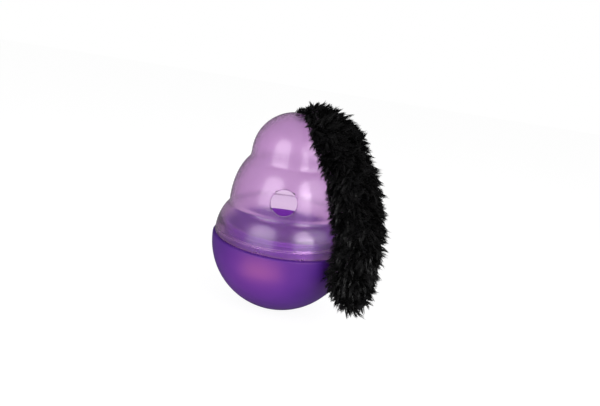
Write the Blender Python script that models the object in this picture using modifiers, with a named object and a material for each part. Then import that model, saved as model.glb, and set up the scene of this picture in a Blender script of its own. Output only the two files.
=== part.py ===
"""A wobbling treat dispenser for cats: a weighted round base, a see-through dome of three bulbs
that screws onto it, and a furry tail that hangs from a swivel at the top of the dome.

Metres, +Z up. The origin is the centre of the flat foot under the base, the body's axis is Z,
and the treat hole faces -Y.
"""

import math

import bmesh
import bpy
from mathutils import Matrix, Vector

# Shared clearances and mesh fineness
FIT_GAP = 0.0003  # between pieces that touch on the real toy
CUT_OVERRUN = 0.0020  # how far a cutter runs past what it cuts
WELD_DISTANCE = 0.00001  # corners that lie nearer than this are one corner
SMOOTH_LIMIT = math.radians(30)  # edges that turn by more than this stay sharp
ROUND_STEPS = 40  # facets round the large turned pieces
SMALL_STEPS = 24  # facets round the small turned pieces
ARC_STEPS = 6  # spans in one bulb's arc

# Rocking base
BASE_RADIUS = 0.0430
BASE_WALL = 0.0022
BASE_FLOOR = 0.0024  # thickness over the flat foot
FOOT_RADIUS = 0.0085
SEAM_RISE = 0.0021  # the seam's height over the centre of the round base
LEDGE_WIDTH = 0.0013
LEDGE_HEIGHT = 0.0016

# Screw boss in the base and the weight that it holds
BOSS_RADIUS = 0.0040
BOSS_HEIGHT = 0.0075
BALLAST_HEIGHT = 0.0125
BALLAST_BEVEL = 0.0010
SCREW_RADIUS = 0.0014
SCREW_LENGTH = 0.0110
SCREW_HEAD_RADIUS = 0.0036
SCREW_HEAD_HEIGHT = 0.0022
SCREW_SLOT_WIDTH = 0.0009
SCREW_SLOT_DEPTH = 0.0009

# Treat cup that closes the base, with the threaded neck
CUP_WALL = 0.0022
CUP_ROOM = 0.0050  # between the cup's round bottom and the screw's head
FLANGE_THICKNESS = 0.0015
FLANGE_WIDTH = 0.0038  # outside the neck
NECK_HEIGHT = 0.0077  # over the seam

# Round-bead thread between the neck and the dome
THREAD_LEAD = 0.0080
THREAD_STARTS = 2
THREAD_BEAD_RADIUS = 0.0011
THREAD_SPACE = 0.0016  # from the neck's wall to the dome's wall
NECK_THREAD_RISE = 0.0019  # the lowest bead's centre over the seam
NECK_THREAD_TURN = math.radians(200)
DOME_THREAD_TURN = math.radians(180)
THREAD_START = math.radians(105)  # where the first bead of the neck starts
THREAD_POINTS = 13
THREAD_LEAD_IN_SHARES = (0.35, 0.75)  # of the bead's radius, at its two end points

# Dome: each bulb is part of an ellipse, stacked on the next
DOME_WALL = 0.0020
LIP_SETBACK = 0.0012  # of the dome's lip inside the base's rim
LOWER_BULB_WIDTH = 0.0159  # half width of the arc, from its own centre
LOWER_BULB_HEIGHT = 0.0231
LOWER_WAIST_INSET = 0.00735  # of the waist inside the lip
MIDDLE_BULB_SWELL = 0.0007  # of the middle bulb over the waist
MIDDLE_BULB_WIDTH = 0.0176
MIDDLE_BULB_HEIGHT = 0.0315
UPPER_WAIST_INSET = 0.0098
UPPER_BULB_SWELL = 0.0004
UPPER_BULB_HEIGHT = 0.0253
WAIST_STEP = 0.0006  # from a waist up to the widest ring of the bulb over it
UPPER_STEP = 0.0030  # the upper bulb's short straight wall
TREAT_HOLE_RADIUS = 0.0073
TREAT_HOLE_RISE = 0.01025  # the hole's centre over the lower waist
TREAT_HOLE_TILT = math.radians(8)  # the hole looks up by this much

# Swivel at the top of the dome
PAD_RADIUS = 0.0060
PIN_RADIUS = 0.0017
PIN_CLEARANCE = 0.0004
PIN_HEAD_RADIUS = 0.0025
PIN_HEAD_EDGE = 0.0003  # the button head's height at its rim
PIN_HEAD_CROWN = 0.0003  # and how much higher its middle is
TAB_THICKNESS = 0.0006
TAB_HALF_WIDTH = 0.0029
TAB_STEPS = 12  # spans in the tab's round end
WASHER_RADIUS = 0.0044
WASHER_THICKNESS = 0.0010
RIVET_RADIUS = 0.0028
RIVET_HEIGHT = 0.0011

# Tail: a stuffed sleeve of long pile that lies over the bulbs
TAIL_AZIMUTH = math.radians(-36)
TAIL_HALF_THICKNESS = 0.0103
TAIL_WIDTH_SHARE = 1.3  # its width over its thickness
ROOT_WIDTH_SHARE = 1.0  # how much that grows up to the root, where it lies flatter
SLEEVE_THICKNESS = 0.0034
STUFFING_LEAST_RADIUS = 0.0016
BALL_GAP = 0.0005
BALL_TIP_RADIUS = 0.0008
MOUTH_RADIUS = 0.0035  # of the opening that the lower tail is stuffed through
RING_SPACING = 0.0018  # least distance between a ring and a tail piece's end
BEND_LIMIT = math.radians(40)
TAIL_STEPS = 18  # facets round the tail
BALL_STEPS = 4
TIP_STEPS = 4

# The tail's line, from its root to its tip: how far it stands off each bulb and the base
UPPER_BULB_STANDS = (0.0007, 0.0007, 0.0007, 0.0010, 0.0024)
MIDDLE_BULB_STANDS = (0.0050, 0.0044, 0.0046)
BASE_STANDS = (0.0016, 0.0014, 0.0008, 0.0007, 0.0028, 0.0052)
# Shares of the tail's half thickness along its line, from the root to the tip
UPPER_TAIL_SHARES = (0.25, 0.33, 0.43, 0.54, 0.63)
MIDDLE_TAIL_SHARES = (0.80, 0.96, 1.00)
LOWER_TAIL_SHARES = (1.00, 0.97, 0.93, 0.88, 0.76, 0.55)
# Where the tail's line passes each bulb, as angles over the bulb's widest ring
UPPER_BULB_ANGLES = [math.radians(a) for a in (72, 61, 47, 32, 16)]
MIDDLE_BULB_ANGLES = [math.radians(a) for a in (47, 30, 15)]
# Heights along the straight run beside the base, as shares of the base's radius over its centre
BASE_RUN_SHARES = (0.40, 0.18, -0.04, -0.23, -0.36, -0.43)

# Points on the tail's line that its three lengths turn about
ROOT = 0
FIRST_BEND = len(UPPER_BULB_ANGLES) + 1
SECOND_BEND = FIRST_BEND + 3
SPAN_RINGS = 3  # rings along the tail between two points

# Places that follow from the sizes above
BASE_CENTRE_Z = math.sqrt(BASE_RADIUS**2 - FOOT_RADIUS**2)
SEAM_Z = BASE_CENTRE_Z + SEAM_RISE
NECK_TOP_Z = SEAM_Z + NECK_HEIGHT
LIP_Z = SEAM_Z + FIT_GAP
INNER_BASE_RADIUS = BASE_RADIUS - BASE_WALL
RIM_RADIUS = math.sqrt(BASE_RADIUS**2 - SEAM_RISE**2)
RIM_INNER_RADIUS = math.sqrt(INNER_BASE_RADIUS**2 - SEAM_RISE**2)
FLANGE_RADIUS = RIM_INNER_RADIUS - FIT_GAP
NECK_RADIUS = FLANGE_RADIUS - FLANGE_WIDTH
THREAD_WALL_RADIUS = NECK_RADIUS + THREAD_SPACE
FLANGE_UNDER_Z = SEAM_Z - FLANGE_THICKNESS
LEDGE_Z = FLANGE_UNDER_Z - FIT_GAP
BALLAST_TOP_Z = BASE_FLOOR + FIT_GAP + BALLAST_HEIGHT
SCREW_TOP_Z = BALLAST_TOP_Z + FIT_GAP + SCREW_HEAD_HEIGHT
CUP_DEPTH = FLANGE_UNDER_Z - SCREW_TOP_Z - CUP_ROOM
LIP_RADIUS = RIM_RADIUS - LIP_SETBACK
LOWER_WAIST_RADIUS = LIP_RADIUS - LOWER_WAIST_INSET
MIDDLE_BULB_RADIUS = LOWER_WAIST_RADIUS + MIDDLE_BULB_SWELL
UPPER_WAIST_RADIUS = MIDDLE_BULB_RADIUS - UPPER_WAIST_INSET
UPPER_BULB_RADIUS = UPPER_WAIST_RADIUS + UPPER_BULB_SWELL


def arc_height(width, height, offset):
    """How high an ellipse of these half sizes stands at this distance from its own middle."""
    return height * math.sqrt(1 - (offset / width) ** 2)


LOWER_BULB_MID = LIP_RADIUS - LOWER_BULB_WIDTH
LOWER_WAIST_Z = SEAM_Z + arc_height(
    LOWER_BULB_WIDTH, LOWER_BULB_HEIGHT, LOWER_WAIST_RADIUS - LOWER_BULB_MID
)
MIDDLE_BULB_Z = LOWER_WAIST_Z + WAIST_STEP
MIDDLE_BULB_MID = MIDDLE_BULB_RADIUS - MIDDLE_BULB_WIDTH
UPPER_WAIST_Z = MIDDLE_BULB_Z + arc_height(
    MIDDLE_BULB_WIDTH, MIDDLE_BULB_HEIGHT, UPPER_WAIST_RADIUS - MIDDLE_BULB_MID
)
UPPER_BULB_Z = UPPER_WAIST_Z + UPPER_STEP
PAD_Z = UPPER_BULB_Z + arc_height(UPPER_BULB_RADIUS, UPPER_BULB_HEIGHT, PAD_RADIUS)
TAB_Z = PAD_Z + FIT_GAP
PIN_HEAD_Z = TAB_Z + TAB_THICKNESS + FIT_GAP
WASHER_TOP_Z = PAD_Z - DOME_WALL - FIT_GAP
RIVET_TOP_Z = WASHER_TOP_Z - WASHER_THICKNESS - FIT_GAP
TREAT_HOLE_Z = LOWER_WAIST_Z + TREAT_HOLE_RISE


def clear_scene():
    for old in list(bpy.data.objects):
        bpy.data.objects.remove(old)


def new_collection(name):
    made = bpy.data.collections.new(name)
    bpy.context.scene.collection.children.link(made)
    return made


def new_material(name, colour, roughness, metallic=0.0):
    made = bpy.data.materials.new(name)
    made.use_nodes = True
    shader = made.node_tree.nodes["Principled BSDF"]
    shader.inputs["Base Color"].default_value = (*colour, 1.0)
    shader.inputs["Roughness"].default_value = roughness
    shader.inputs["Metallic"].default_value = metallic
    return made


def place(name, mesh, collection, material=None):
    made = bpy.data.objects.new(name, mesh)
    collection.objects.link(made)
    if material:
        mesh.materials.append(material)
    return made


def hide_cutter(cutter):
    cutter.hide_render = True
    cutter.display_type = "WIRE"
    return cutter


def turned(name, profile, collection, material=None, steps=ROUND_STEPS, closed=True):
    """A solid turned about Z from (radius, height) points that run down the outside and up the inside."""
    mesh = bpy.data.meshes.new(name)
    edges = [(i, i + 1) for i in range(len(profile) - 1)]
    if closed:
        edges.append((len(profile) - 1, 0))
    mesh.from_pydata([(radius, 0, height) for radius, height in profile], edges, [])
    made = place(name, mesh, collection, material)
    screw = made.modifiers.new("turn", "SCREW")
    screw.steps = steps
    screw.render_steps = steps
    screw.use_merge_vertices = True
    screw.merge_threshold = WELD_DISTANCE
    return made


def settle(piece, depsgraph):
    """Turns a piece's modifiers into its mesh, and shades it smooth between its sharp edges."""
    mesh = bpy.data.meshes.new_from_object(piece.evaluated_get(depsgraph))
    mesh.name = piece.name
    mesh.shade_smooth()
    mesh.set_sharp_from_angle(angle=SMOOTH_LIMIT)
    piece.modifiers.clear()
    piece.data = mesh


def boolean(target, operation, tool):
    cut = target.modifiers.new(operation.lower(), "BOOLEAN")
    cut.operation = operation
    cut.solver = "EXACT"
    cut.object = tool


def ellipse_arc(mid, centre_z, width, height, from_angle, to_angle, steps=ARC_STEPS):
    """Points on a bulb's arc, with angles measured up from its widest ring."""
    points = []
    for i in range(steps + 1):
        angle = from_angle + (to_angle - from_angle) * i / steps
        points.append((mid + width * math.cos(angle), centre_z + height * math.sin(angle)))
    return points


def arc_angle(width, offset):
    return math.acos(offset / width)


def dome_side(inset):
    """The dome's profile from the pad down to the lip, taken in by inset for the inner face."""
    upper_width = UPPER_BULB_RADIUS - inset
    middle_width = MIDDLE_BULB_WIDTH - inset
    lower_width = LOWER_BULB_WIDTH - inset
    points = ellipse_arc(
        0, UPPER_BULB_Z, upper_width, UPPER_BULB_HEIGHT - inset, arc_angle(upper_width, PAD_RADIUS), 0
    )
    points += ellipse_arc(
        MIDDLE_BULB_MID, MIDDLE_BULB_Z, middle_width, MIDDLE_BULB_HEIGHT - inset,
        arc_angle(middle_width, UPPER_WAIST_RADIUS - inset - MIDDLE_BULB_MID), 0,
    )
    points += ellipse_arc(
        LOWER_BULB_MID, SEAM_Z, lower_width, LOWER_BULB_HEIGHT - inset,
        arc_angle(lower_width, LOWER_WAIST_RADIUS - inset - LOWER_BULB_MID), 0,
    )
    return points


def helix_bead(name, radius, first_z, first_angle, turn, collection):
    """A thread bead as a mesh tube on a helix, thinner at its two ends."""
    curve = bpy.data.curves.new(name, "CURVE")
    curve.dimensions = "3D"
    curve.bevel_depth = THREAD_BEAD_RADIUS
    curve.bevel_resolution = 2
    curve.use_fill_caps = True
    spline = curve.splines.new("POLY")
    spline.points.add(THREAD_POINTS - 1)
    for i, point in enumerate(spline.points):
        along = turn * i / (THREAD_POINTS - 1)
        angle = first_angle + along
        z = first_z + THREAD_LEAD * along / math.tau
        point.co = (radius * math.cos(angle), radius * math.sin(angle), z, 1)
        from_end = min(i, THREAD_POINTS - 1 - i)
        if from_end < len(THREAD_LEAD_IN_SHARES):
            point.radius = THREAD_LEAD_IN_SHARES[from_end]
    return hide_cutter(meshed(bpy.data.objects.new(name, curve), name, collection))


def meshed(curve_object, name, collection):
    """The mesh of a curve object, with its caps welded on."""
    collection.objects.link(curve_object)
    bpy.context.view_layer.update()
    evaluated = curve_object.evaluated_get(bpy.context.evaluated_depsgraph_get())
    mesh = bpy.data.meshes.new_from_object(evaluated)
    mesh.name = name
    world = curve_object.matrix_world.copy()
    bpy.data.objects.remove(curve_object)
    work = bmesh.new()
    work.from_mesh(mesh)
    bmesh.ops.remove_doubles(work, verts=work.verts, dist=WELD_DISTANCE)
    bmesh.ops.recalc_face_normals(work, faces=work.faces)
    work.to_mesh(mesh)
    work.free()
    made = place(name, mesh, collection)
    made.matrix_world = world
    return made


def make_base_bowl(parts, material):
    """The round outer shell, with its flat foot, the cup's ledge and the weight's screw boss."""
    foot_angle = -math.acos(FOOT_RADIUS / BASE_RADIUS)
    floor_angle = -math.asin((BASE_CENTRE_Z - BASE_FLOOR) / INNER_BASE_RADIUS)
    ledge_under_z = LEDGE_Z - LEDGE_HEIGHT
    ledge_radius = RIM_INNER_RADIUS - LEDGE_WIDTH
    ledge_foot_z = ledge_under_z - LEDGE_WIDTH
    ledge_foot_angle = -math.asin((BASE_CENTRE_Z - ledge_foot_z) / INNER_BASE_RADIUS)
    bore_radius = SCREW_RADIUS + FIT_GAP
    boss_top_z = BASE_FLOOR + BOSS_HEIGHT
    bore_floor_z = BALLAST_TOP_Z + FIT_GAP - SCREW_LENGTH - FIT_GAP
    rim_angle = math.asin(SEAM_RISE / BASE_RADIUS)
    profile = ellipse_arc(0, BASE_CENTRE_Z, BASE_RADIUS, BASE_RADIUS, rim_angle, foot_angle, 2 * ARC_STEPS)
    profile += [(0, 0), (0, bore_floor_z), (bore_radius, bore_floor_z), (bore_radius, boss_top_z)]
    profile += [(BOSS_RADIUS, boss_top_z), (BOSS_RADIUS, BASE_FLOOR)]
    profile += ellipse_arc(
        0, BASE_CENTRE_Z, INNER_BASE_RADIUS, INNER_BASE_RADIUS, floor_angle, ledge_foot_angle, ARC_STEPS + 3
    )
    profile += [(ledge_radius, ledge_under_z), (ledge_radius, LEDGE_Z), (RIM_INNER_RADIUS, LEDGE_Z)]
    profile += [(RIM_INNER_RADIUS, SEAM_Z)]
    return turned("base_bowl", profile, parts, material)


def make_ballast(parts, material):
    """The iron weight: it fills the bottom of the bowl, fits over the boss and has one screw hole."""
    seat_radius = INNER_BASE_RADIUS - FIT_GAP
    low_z = BASE_FLOOR + FIT_GAP
    hole_radius = BOSS_RADIUS + FIT_GAP
    shoulder_z = BASE_FLOOR + BOSS_HEIGHT + FIT_GAP
    screw_hole_radius = SCREW_RADIUS + FIT_GAP
    top_angle = -math.asin((BASE_CENTRE_Z - BALLAST_TOP_Z + BALLAST_BEVEL) / seat_radius)
    low_angle = -math.asin((BASE_CENTRE_Z - low_z) / seat_radius)
    profile = [(seat_radius * math.cos(top_angle) - BALLAST_BEVEL, BALLAST_TOP_Z)]
    profile += ellipse_arc(0, BASE_CENTRE_Z, seat_radius, seat_radius, top_angle, low_angle)
    profile += [(hole_radius, low_z), (hole_radius, shoulder_z)]
    profile += [(screw_hole_radius, shoulder_z), (screw_hole_radius, BALLAST_TOP_Z)]
    return turned("ballast", profile, parts, material)


def make_ballast_screw(parts, cutters, material):
    """A pan-head screw with one straight slot, down through the weight into the boss."""
    under_head_z = BALLAST_TOP_Z + FIT_GAP
    top_z = SCREW_TOP_Z
    tip_z = under_head_z - SCREW_LENGTH
    edge = SCREW_HEAD_HEIGHT / 2
    profile = [(0, top_z), (SCREW_HEAD_RADIUS - edge, top_z), (SCREW_HEAD_RADIUS, top_z - edge)]
    profile += [(SCREW_HEAD_RADIUS, under_head_z), (SCREW_RADIUS, under_head_z)]
    profile += [(SCREW_RADIUS, tip_z + SCREW_RADIUS), (0, tip_z)]
    screw = turned("ballast_screw", profile, parts, material, SMALL_STEPS, closed=False)
    mesh = bpy.data.meshes.new("screw_slot")
    work = bmesh.new()
    bmesh.ops.create_cube(work, size=1)
    length = 2 * (SCREW_HEAD_RADIUS + CUT_OVERRUN)
    depth = SCREW_SLOT_DEPTH + CUT_OVERRUN
    bmesh.ops.scale(work, vec=(length, SCREW_SLOT_WIDTH, depth), verts=work.verts)
    work.to_mesh(mesh)
    work.free()
    slot = hide_cutter(place("screw_slot", mesh, cutters))
    slot.location.z = top_z - SCREW_SLOT_DEPTH + depth / 2
    boolean(screw, "DIFFERENCE", slot)
    return screw


def make_treat_cup(parts, cutters, material):
    """The treat cup: a round bottom, a flange that closes the base, and the neck with its thread."""
    neck_inner = NECK_RADIUS - CUP_WALL
    cup_centre_z = FLANGE_UNDER_Z
    profile = [(NECK_RADIUS, NECK_TOP_Z), (NECK_RADIUS, SEAM_Z), (FLANGE_RADIUS, SEAM_Z)]
    profile += [(FLANGE_RADIUS, FLANGE_UNDER_Z)]
    profile += ellipse_arc(0, cup_centre_z, NECK_RADIUS, CUP_DEPTH, 0, -math.pi / 2, ARC_STEPS + 1)
    profile += ellipse_arc(0, cup_centre_z, neck_inner, CUP_DEPTH - CUP_WALL, -math.pi / 2, 0, ARC_STEPS + 1)
    profile += [(neck_inner, NECK_TOP_Z)]
    cup = turned("treat_cup", profile, parts, material)
    for start in range(THREAD_STARTS):
        phase = THREAD_START + math.tau * start / THREAD_STARTS
        name = f"neck_bead_{start + 1}"
        bead = helix_bead(name, NECK_RADIUS, SEAM_Z + NECK_THREAD_RISE, phase, NECK_THREAD_TURN, cutters)
        boolean(cup, "UNION", bead)
    return cup


def make_dome(parts, cutters, material):
    """The see-through dome, open below, with its thread inside the lip, a pin hole and the treat hole."""
    hole_radius = PIN_RADIUS + PIN_CLEARANCE
    outer = dome_side(0)
    inner = [point for point in dome_side(DOME_WALL) if point[1] > NECK_TOP_Z + DOME_WALL]
    profile = [(hole_radius, PAD_Z)] + outer
    profile[-1] = (LIP_RADIUS, LIP_Z)
    profile += [(THREAD_WALL_RADIUS, LIP_Z), (THREAD_WALL_RADIUS, NECK_TOP_Z)]
    profile += inner[::-1] + [(hole_radius, PAD_Z - DOME_WALL)]
    dome = turned("dome", profile, parts, material)
    pitch = THREAD_LEAD / THREAD_STARTS
    skipped = math.tau * pitch / 2 / THREAD_LEAD
    for start in range(THREAD_STARTS):
        phase = THREAD_START + math.tau * start / THREAD_STARTS + skipped
        name = f"dome_bead_{start + 1}"
        first_z = SEAM_Z + NECK_THREAD_RISE
        bead = helix_bead(name, THREAD_WALL_RADIUS, first_z, phase, DOME_THREAD_TURN, cutters)
        boolean(dome, "UNION", bead)
    mesh = bpy.data.meshes.new("treat_hole")
    work = bmesh.new()
    depth = 2 * (LIP_RADIUS - LOWER_WAIST_RADIUS + DOME_WALL + CUT_OVERRUN)
    bmesh.ops.create_cone(
        work, cap_ends=True, segments=SMALL_STEPS,
        radius1=TREAT_HOLE_RADIUS, radius2=TREAT_HOLE_RADIUS, depth=depth,
    )
    work.to_mesh(mesh)
    work.free()
    hole = hide_cutter(place("treat_hole", mesh, cutters))
    hole.location = (0, -MIDDLE_BULB_RADIUS, TREAT_HOLE_Z)
    hole.rotation_euler.x = math.pi / 2 - TREAT_HOLE_TILT
    boolean(dome, "DIFFERENCE", hole)
    return dome


def make_retaining_washer(parts, material):
    """The washer under the dome's top, which keeps the swivel pin in."""
    inner_radius = PIN_RADIUS + PIN_CLEARANCE
    under_z = WASHER_TOP_Z - WASHER_THICKNESS
    profile = [(inner_radius, WASHER_TOP_Z), (WASHER_RADIUS, WASHER_TOP_Z)]
    profile += [(WASHER_RADIUS, under_z), (inner_radius, under_z)]
    return turned("retaining_washer", profile, parts, material, SMALL_STEPS)


def make_swivel_pin(parts, material):
    """The pin that turns in the dome's top: a button head over the tail's tab, and a rivet head inside."""
    rim_z = PIN_HEAD_Z + PIN_HEAD_EDGE
    profile = ellipse_arc(0, rim_z, PIN_HEAD_RADIUS, PIN_HEAD_CROWN, math.pi / 2, 0)
    profile[0] = (0, rim_z + PIN_HEAD_CROWN)
    profile += [(PIN_HEAD_RADIUS, PIN_HEAD_Z), (PIN_RADIUS, PIN_HEAD_Z)]
    profile += [(PIN_RADIUS, RIVET_TOP_Z), (RIVET_RADIUS, RIVET_TOP_Z)]
    profile += [(RIVET_RADIUS, RIVET_TOP_Z - RIVET_HEIGHT / 2), (PIN_RADIUS, RIVET_TOP_Z - RIVET_HEIGHT)]
    profile += [(0, RIVET_TOP_Z - RIVET_HEIGHT)]
    return turned("swivel_pin", profile, parts, material, SMALL_STEPS, closed=False)


def make_tail_tab(parts, cutters, material):
    """The webbing tab that the pin holds: round about the pin, and sewn to the tail's root."""
    root_bend = smooth_run(tail_controls(), ROOT, ROOT + 1)[0]
    root_x = root_bend[0].x
    curve = bpy.data.curves.new("tail_tab", "CURVE")
    curve.dimensions = "2D"
    curve.fill_mode = "BOTH"
    curve.extrude = TAB_THICKNESS / 2
    outline = [(root_x, TAB_HALF_WIDTH)]
    for i in range(TAB_STEPS + 1):
        angle = math.pi / 2 + math.pi * i / TAB_STEPS
        outline.append((TAB_HALF_WIDTH * math.cos(angle), TAB_HALF_WIDTH * math.sin(angle)))
    outline.append((root_x, -TAB_HALF_WIDTH))
    bore_radius = PIN_RADIUS + FIT_GAP
    bore = []
    for i in range(2 * TAB_STEPS):
        angle = math.pi * i / TAB_STEPS
        bore.append((bore_radius * math.cos(angle), bore_radius * math.sin(angle)))
    for points in (outline, bore):
        spline = curve.splines.new("POLY")
        spline.points.add(len(points) - 1)
        spline.use_cyclic_u = True
        for point, (x, y) in zip(spline.points, points):
            point.co = (x, y, 0, 1)
    flat = bpy.data.objects.new("tail_tab", curve)
    flat.rotation_euler.z = TAIL_AZIMUTH
    flat.location.z = TAB_Z + TAB_THICKNESS / 2
    tab = meshed(flat, "tail_tab", parts)
    tab.data.materials.append(material)
    boolean(tab, "DIFFERENCE", socket_cutter("root_socket", root_bend, cutters))
    return tab


def tail_controls():
    """The tail's line in its own plane, as (outwards, up, thickness share) from root to tip."""
    controls = []
    upper_places = zip(UPPER_BULB_ANGLES, UPPER_BULB_STANDS, UPPER_TAIL_SHARES)
    for angle, stand, share in upper_places:
        away = TAIL_HALF_THICKNESS * share + stand
        x = (UPPER_BULB_RADIUS + away) * math.cos(angle)
        controls.append(Vector((x, UPPER_BULB_Z + (UPPER_BULB_HEIGHT + away) * math.sin(angle), share)))
    middle_places = zip(MIDDLE_BULB_ANGLES, MIDDLE_BULB_STANDS, MIDDLE_TAIL_SHARES)
    for angle, stand, share in middle_places:
        away = TAIL_HALF_THICKNESS * share + stand
        x = MIDDLE_BULB_MID + (MIDDLE_BULB_WIDTH + away) * math.cos(angle)
        controls.append(Vector((x, MIDDLE_BULB_Z + (MIDDLE_BULB_HEIGHT + away) * math.sin(angle), share)))
    for height_share, stand, share in zip(BASE_RUN_SHARES, BASE_STANDS, LOWER_TAIL_SHARES):
        x = BASE_RADIUS + TAIL_HALF_THICKNESS + stand
        controls.append(Vector((x, BASE_CENTRE_Z + BASE_RADIUS * height_share, share)))
    return controls


def smooth_run(controls, first, last):
    """Rings, as (centre, direction, radius), on a Catmull-Rom curve from one control point to another."""
    rings = []
    for i in range(first, last):
        p, q, r, s = (controls[min(max(k, 0), len(controls) - 1)] for k in (i - 1, i, i + 1, i + 2))
        for step in range(SPAN_RINGS + (i == last - 1)):
            t = step / SPAN_RINGS
            turn, twist = 2 * p - 5 * q + 4 * r - s, 3 * q - p - 3 * r + s
            spot = (2 * q + (r - p) * t + turn * t**2 + twist * t**3) / 2
            way = (r - p) + 2 * turn * t + 3 * twist * t**2
            along = Vector((way.x, 0, way.y)).normalized()
            rings.append((Vector((spot.x, 0, spot.y)), along, TAIL_HALF_THICKNESS * spot.z))
    return rings


def ball_rings(bend, radius, mouth, setback=0):
    """Rings on a ball about a bend, from one as wide as the mouth to one setback before the bend."""
    centre, along, _ = bend
    first = math.asin(mouth / radius)
    last = math.acos(setback / radius)
    rings = []
    for i in range(BALL_STEPS + 1):
        angle = first + (last - first) * i / BALL_STEPS
        rings.append((centre - along * radius * math.cos(angle), along, radius * math.sin(angle)))
    return rings


def before_bend(rings, bend, distance):
    """The rings that lie at least this far before a bend, with room for an end ring after them."""
    centre, along, _ = bend
    return [ring for ring in rings if (centre - ring[0]).dot(along) > distance + RING_SPACING]


def thinned(rings, thickness):
    """The same rings taken in by a wall, where enough is left of them."""
    least = thickness + STUFFING_LEAST_RADIUS
    return [(centre, along, radius - thickness) for centre, along, radius in rings if radius > least]


def widened(work):
    """Widens a tail mesh across the tail's plane, more so where it lies flat on the upper bulb."""
    for corner in work.verts:
        climb = (corner.co.z - UPPER_WAIST_Z) / UPPER_BULB_HEIGHT
        corner.co.y *= TAIL_WIDTH_SHARE + ROOT_WIDTH_SHARE * min(max(climb, 0), 1)


def make_pivot(name, place_from_parent, parent, parts):
    """An empty on a joint's axis, which the pieces that move with the joint hang from."""
    pivot = bpy.data.objects.new(name, None)
    pivot.empty_display_size = PIN_HEAD_RADIUS
    pivot.parent = parent
    pivot.location = place_from_parent
    parts.objects.link(pivot)
    return pivot


def lofted(name, rings, origin, pivot, collection, material):
    """A closed skin over rings in the tail's plane, capped at both ends, about its joint's centre."""
    work = bmesh.new()
    loops = []
    for centre, along, radius in rings:
        across = Vector((along.z, 0, -along.x))
        turn = Matrix((across, (0, 1, 0), along)).transposed().to_4x4()
        matrix = Matrix.Translation(centre) @ turn
        circle = bmesh.ops.create_circle(work, segments=TAIL_STEPS, radius=radius, matrix=matrix)
        loops.append(circle["verts"])
    for loop, next_loop in zip(loops, loops[1:]):
        for k in range(TAIL_STEPS):
            work.faces.new((loop[k - 1], loop[k], next_loop[k], next_loop[k - 1]))
    work.faces.new(loops[0])
    work.faces.new(loops[-1])
    widened(work)
    bmesh.ops.translate(work, vec=-origin, verts=work.verts)
    bmesh.ops.recalc_face_normals(work, faces=work.faces)
    mesh = bpy.data.meshes.new(name)
    work.to_mesh(mesh)
    work.free()
    made = place(name, mesh, collection, material)
    made.parent = pivot
    return made


def socket_cutter(name, bend, cutters):
    """The hollow that a rounded end turns in."""
    centre, _, radius = bend
    mesh = bpy.data.meshes.new(name)
    work = bmesh.new()
    rows = SMALL_STEPS // 2
    bmesh.ops.create_uvsphere(work, u_segments=SMALL_STEPS, v_segments=rows, radius=radius + BALL_GAP)
    bmesh.ops.rotate(work, matrix=Matrix.Rotation(math.pi / 2, 3, "X"), verts=work.verts)
    bmesh.ops.translate(work, vec=centre, verts=work.verts)
    widened(work)
    bmesh.ops.recalc_face_normals(work, faces=work.faces)
    work.to_mesh(mesh)
    work.free()
    cutter = hide_cutter(place(name, mesh, cutters))
    cutter.rotation_euler.z = TAIL_AZIMUTH
    return cutter


def make_hanging_piece(place_name, run, bottom, pivot, parts, fur, filling):
    """A length of sleeve with a rounded top and a socket below, and the stuffing that fills it."""
    top = run[0]
    origin = top[0]
    centre, along, radius = bottom
    setback = radius * math.sin(BEND_LIMIT)
    socket_radius = radius + BALL_GAP
    bore_radius = radius - SLEEVE_THICKNESS
    bore_depth = math.sqrt(socket_radius**2 - bore_radius**2)
    outside = ball_rings(top, top[2], BALL_TIP_RADIUS) + before_bend(run[1:], bottom, setback)
    outside.append((centre - along * setback, along, radius))
    socket = ball_rings(bottom, socket_radius, bore_radius, setback)[::-1]
    bore = thinned(before_bend(run[1:], bottom, bore_depth), SLEEVE_THICKNESS)[::-1]
    lofted(f"tail_sleeve_{place_name}", outside + socket + bore, origin, pivot, parts, fur)
    core = thinned(before_bend(run[2:], bottom, socket_radius), SLEEVE_THICKNESS + FIT_GAP)
    lofted(f"tail_stuffing_{place_name}", core, origin, pivot, parts, filling)


def make_tip_piece(run, pivot, parts, fur, filling):
    """The last length of sleeve: it closes at the tip, and its mouth is in its rounded top."""
    top = run[0]
    origin, _, radius = top
    outside = ball_rings(top, radius, MOUTH_RADIUS) + run[1:]
    centre, along, end_radius = run[-1]
    for i in range(1, TIP_STEPS):
        angle = math.pi / 2 * i / TIP_STEPS
        outside.append((centre + along * end_radius * math.sin(angle), along, end_radius * math.cos(angle)))
    inside = ball_rings(top, radius - SLEEVE_THICKNESS, MOUTH_RADIUS) + thinned(run[1:], SLEEVE_THICKNESS)
    lofted("tail_sleeve_lower", inside[::-1] + outside, origin, pivot, parts, fur)
    core_radius = radius - SLEEVE_THICKNESS - FIT_GAP
    core = ball_rings(top, core_radius, MOUTH_RADIUS - FIT_GAP)
    core += thinned(run[1:-1], SLEEVE_THICKNESS + FIT_GAP)
    lofted("tail_stuffing_lower", core, origin, pivot, parts, filling)


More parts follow.
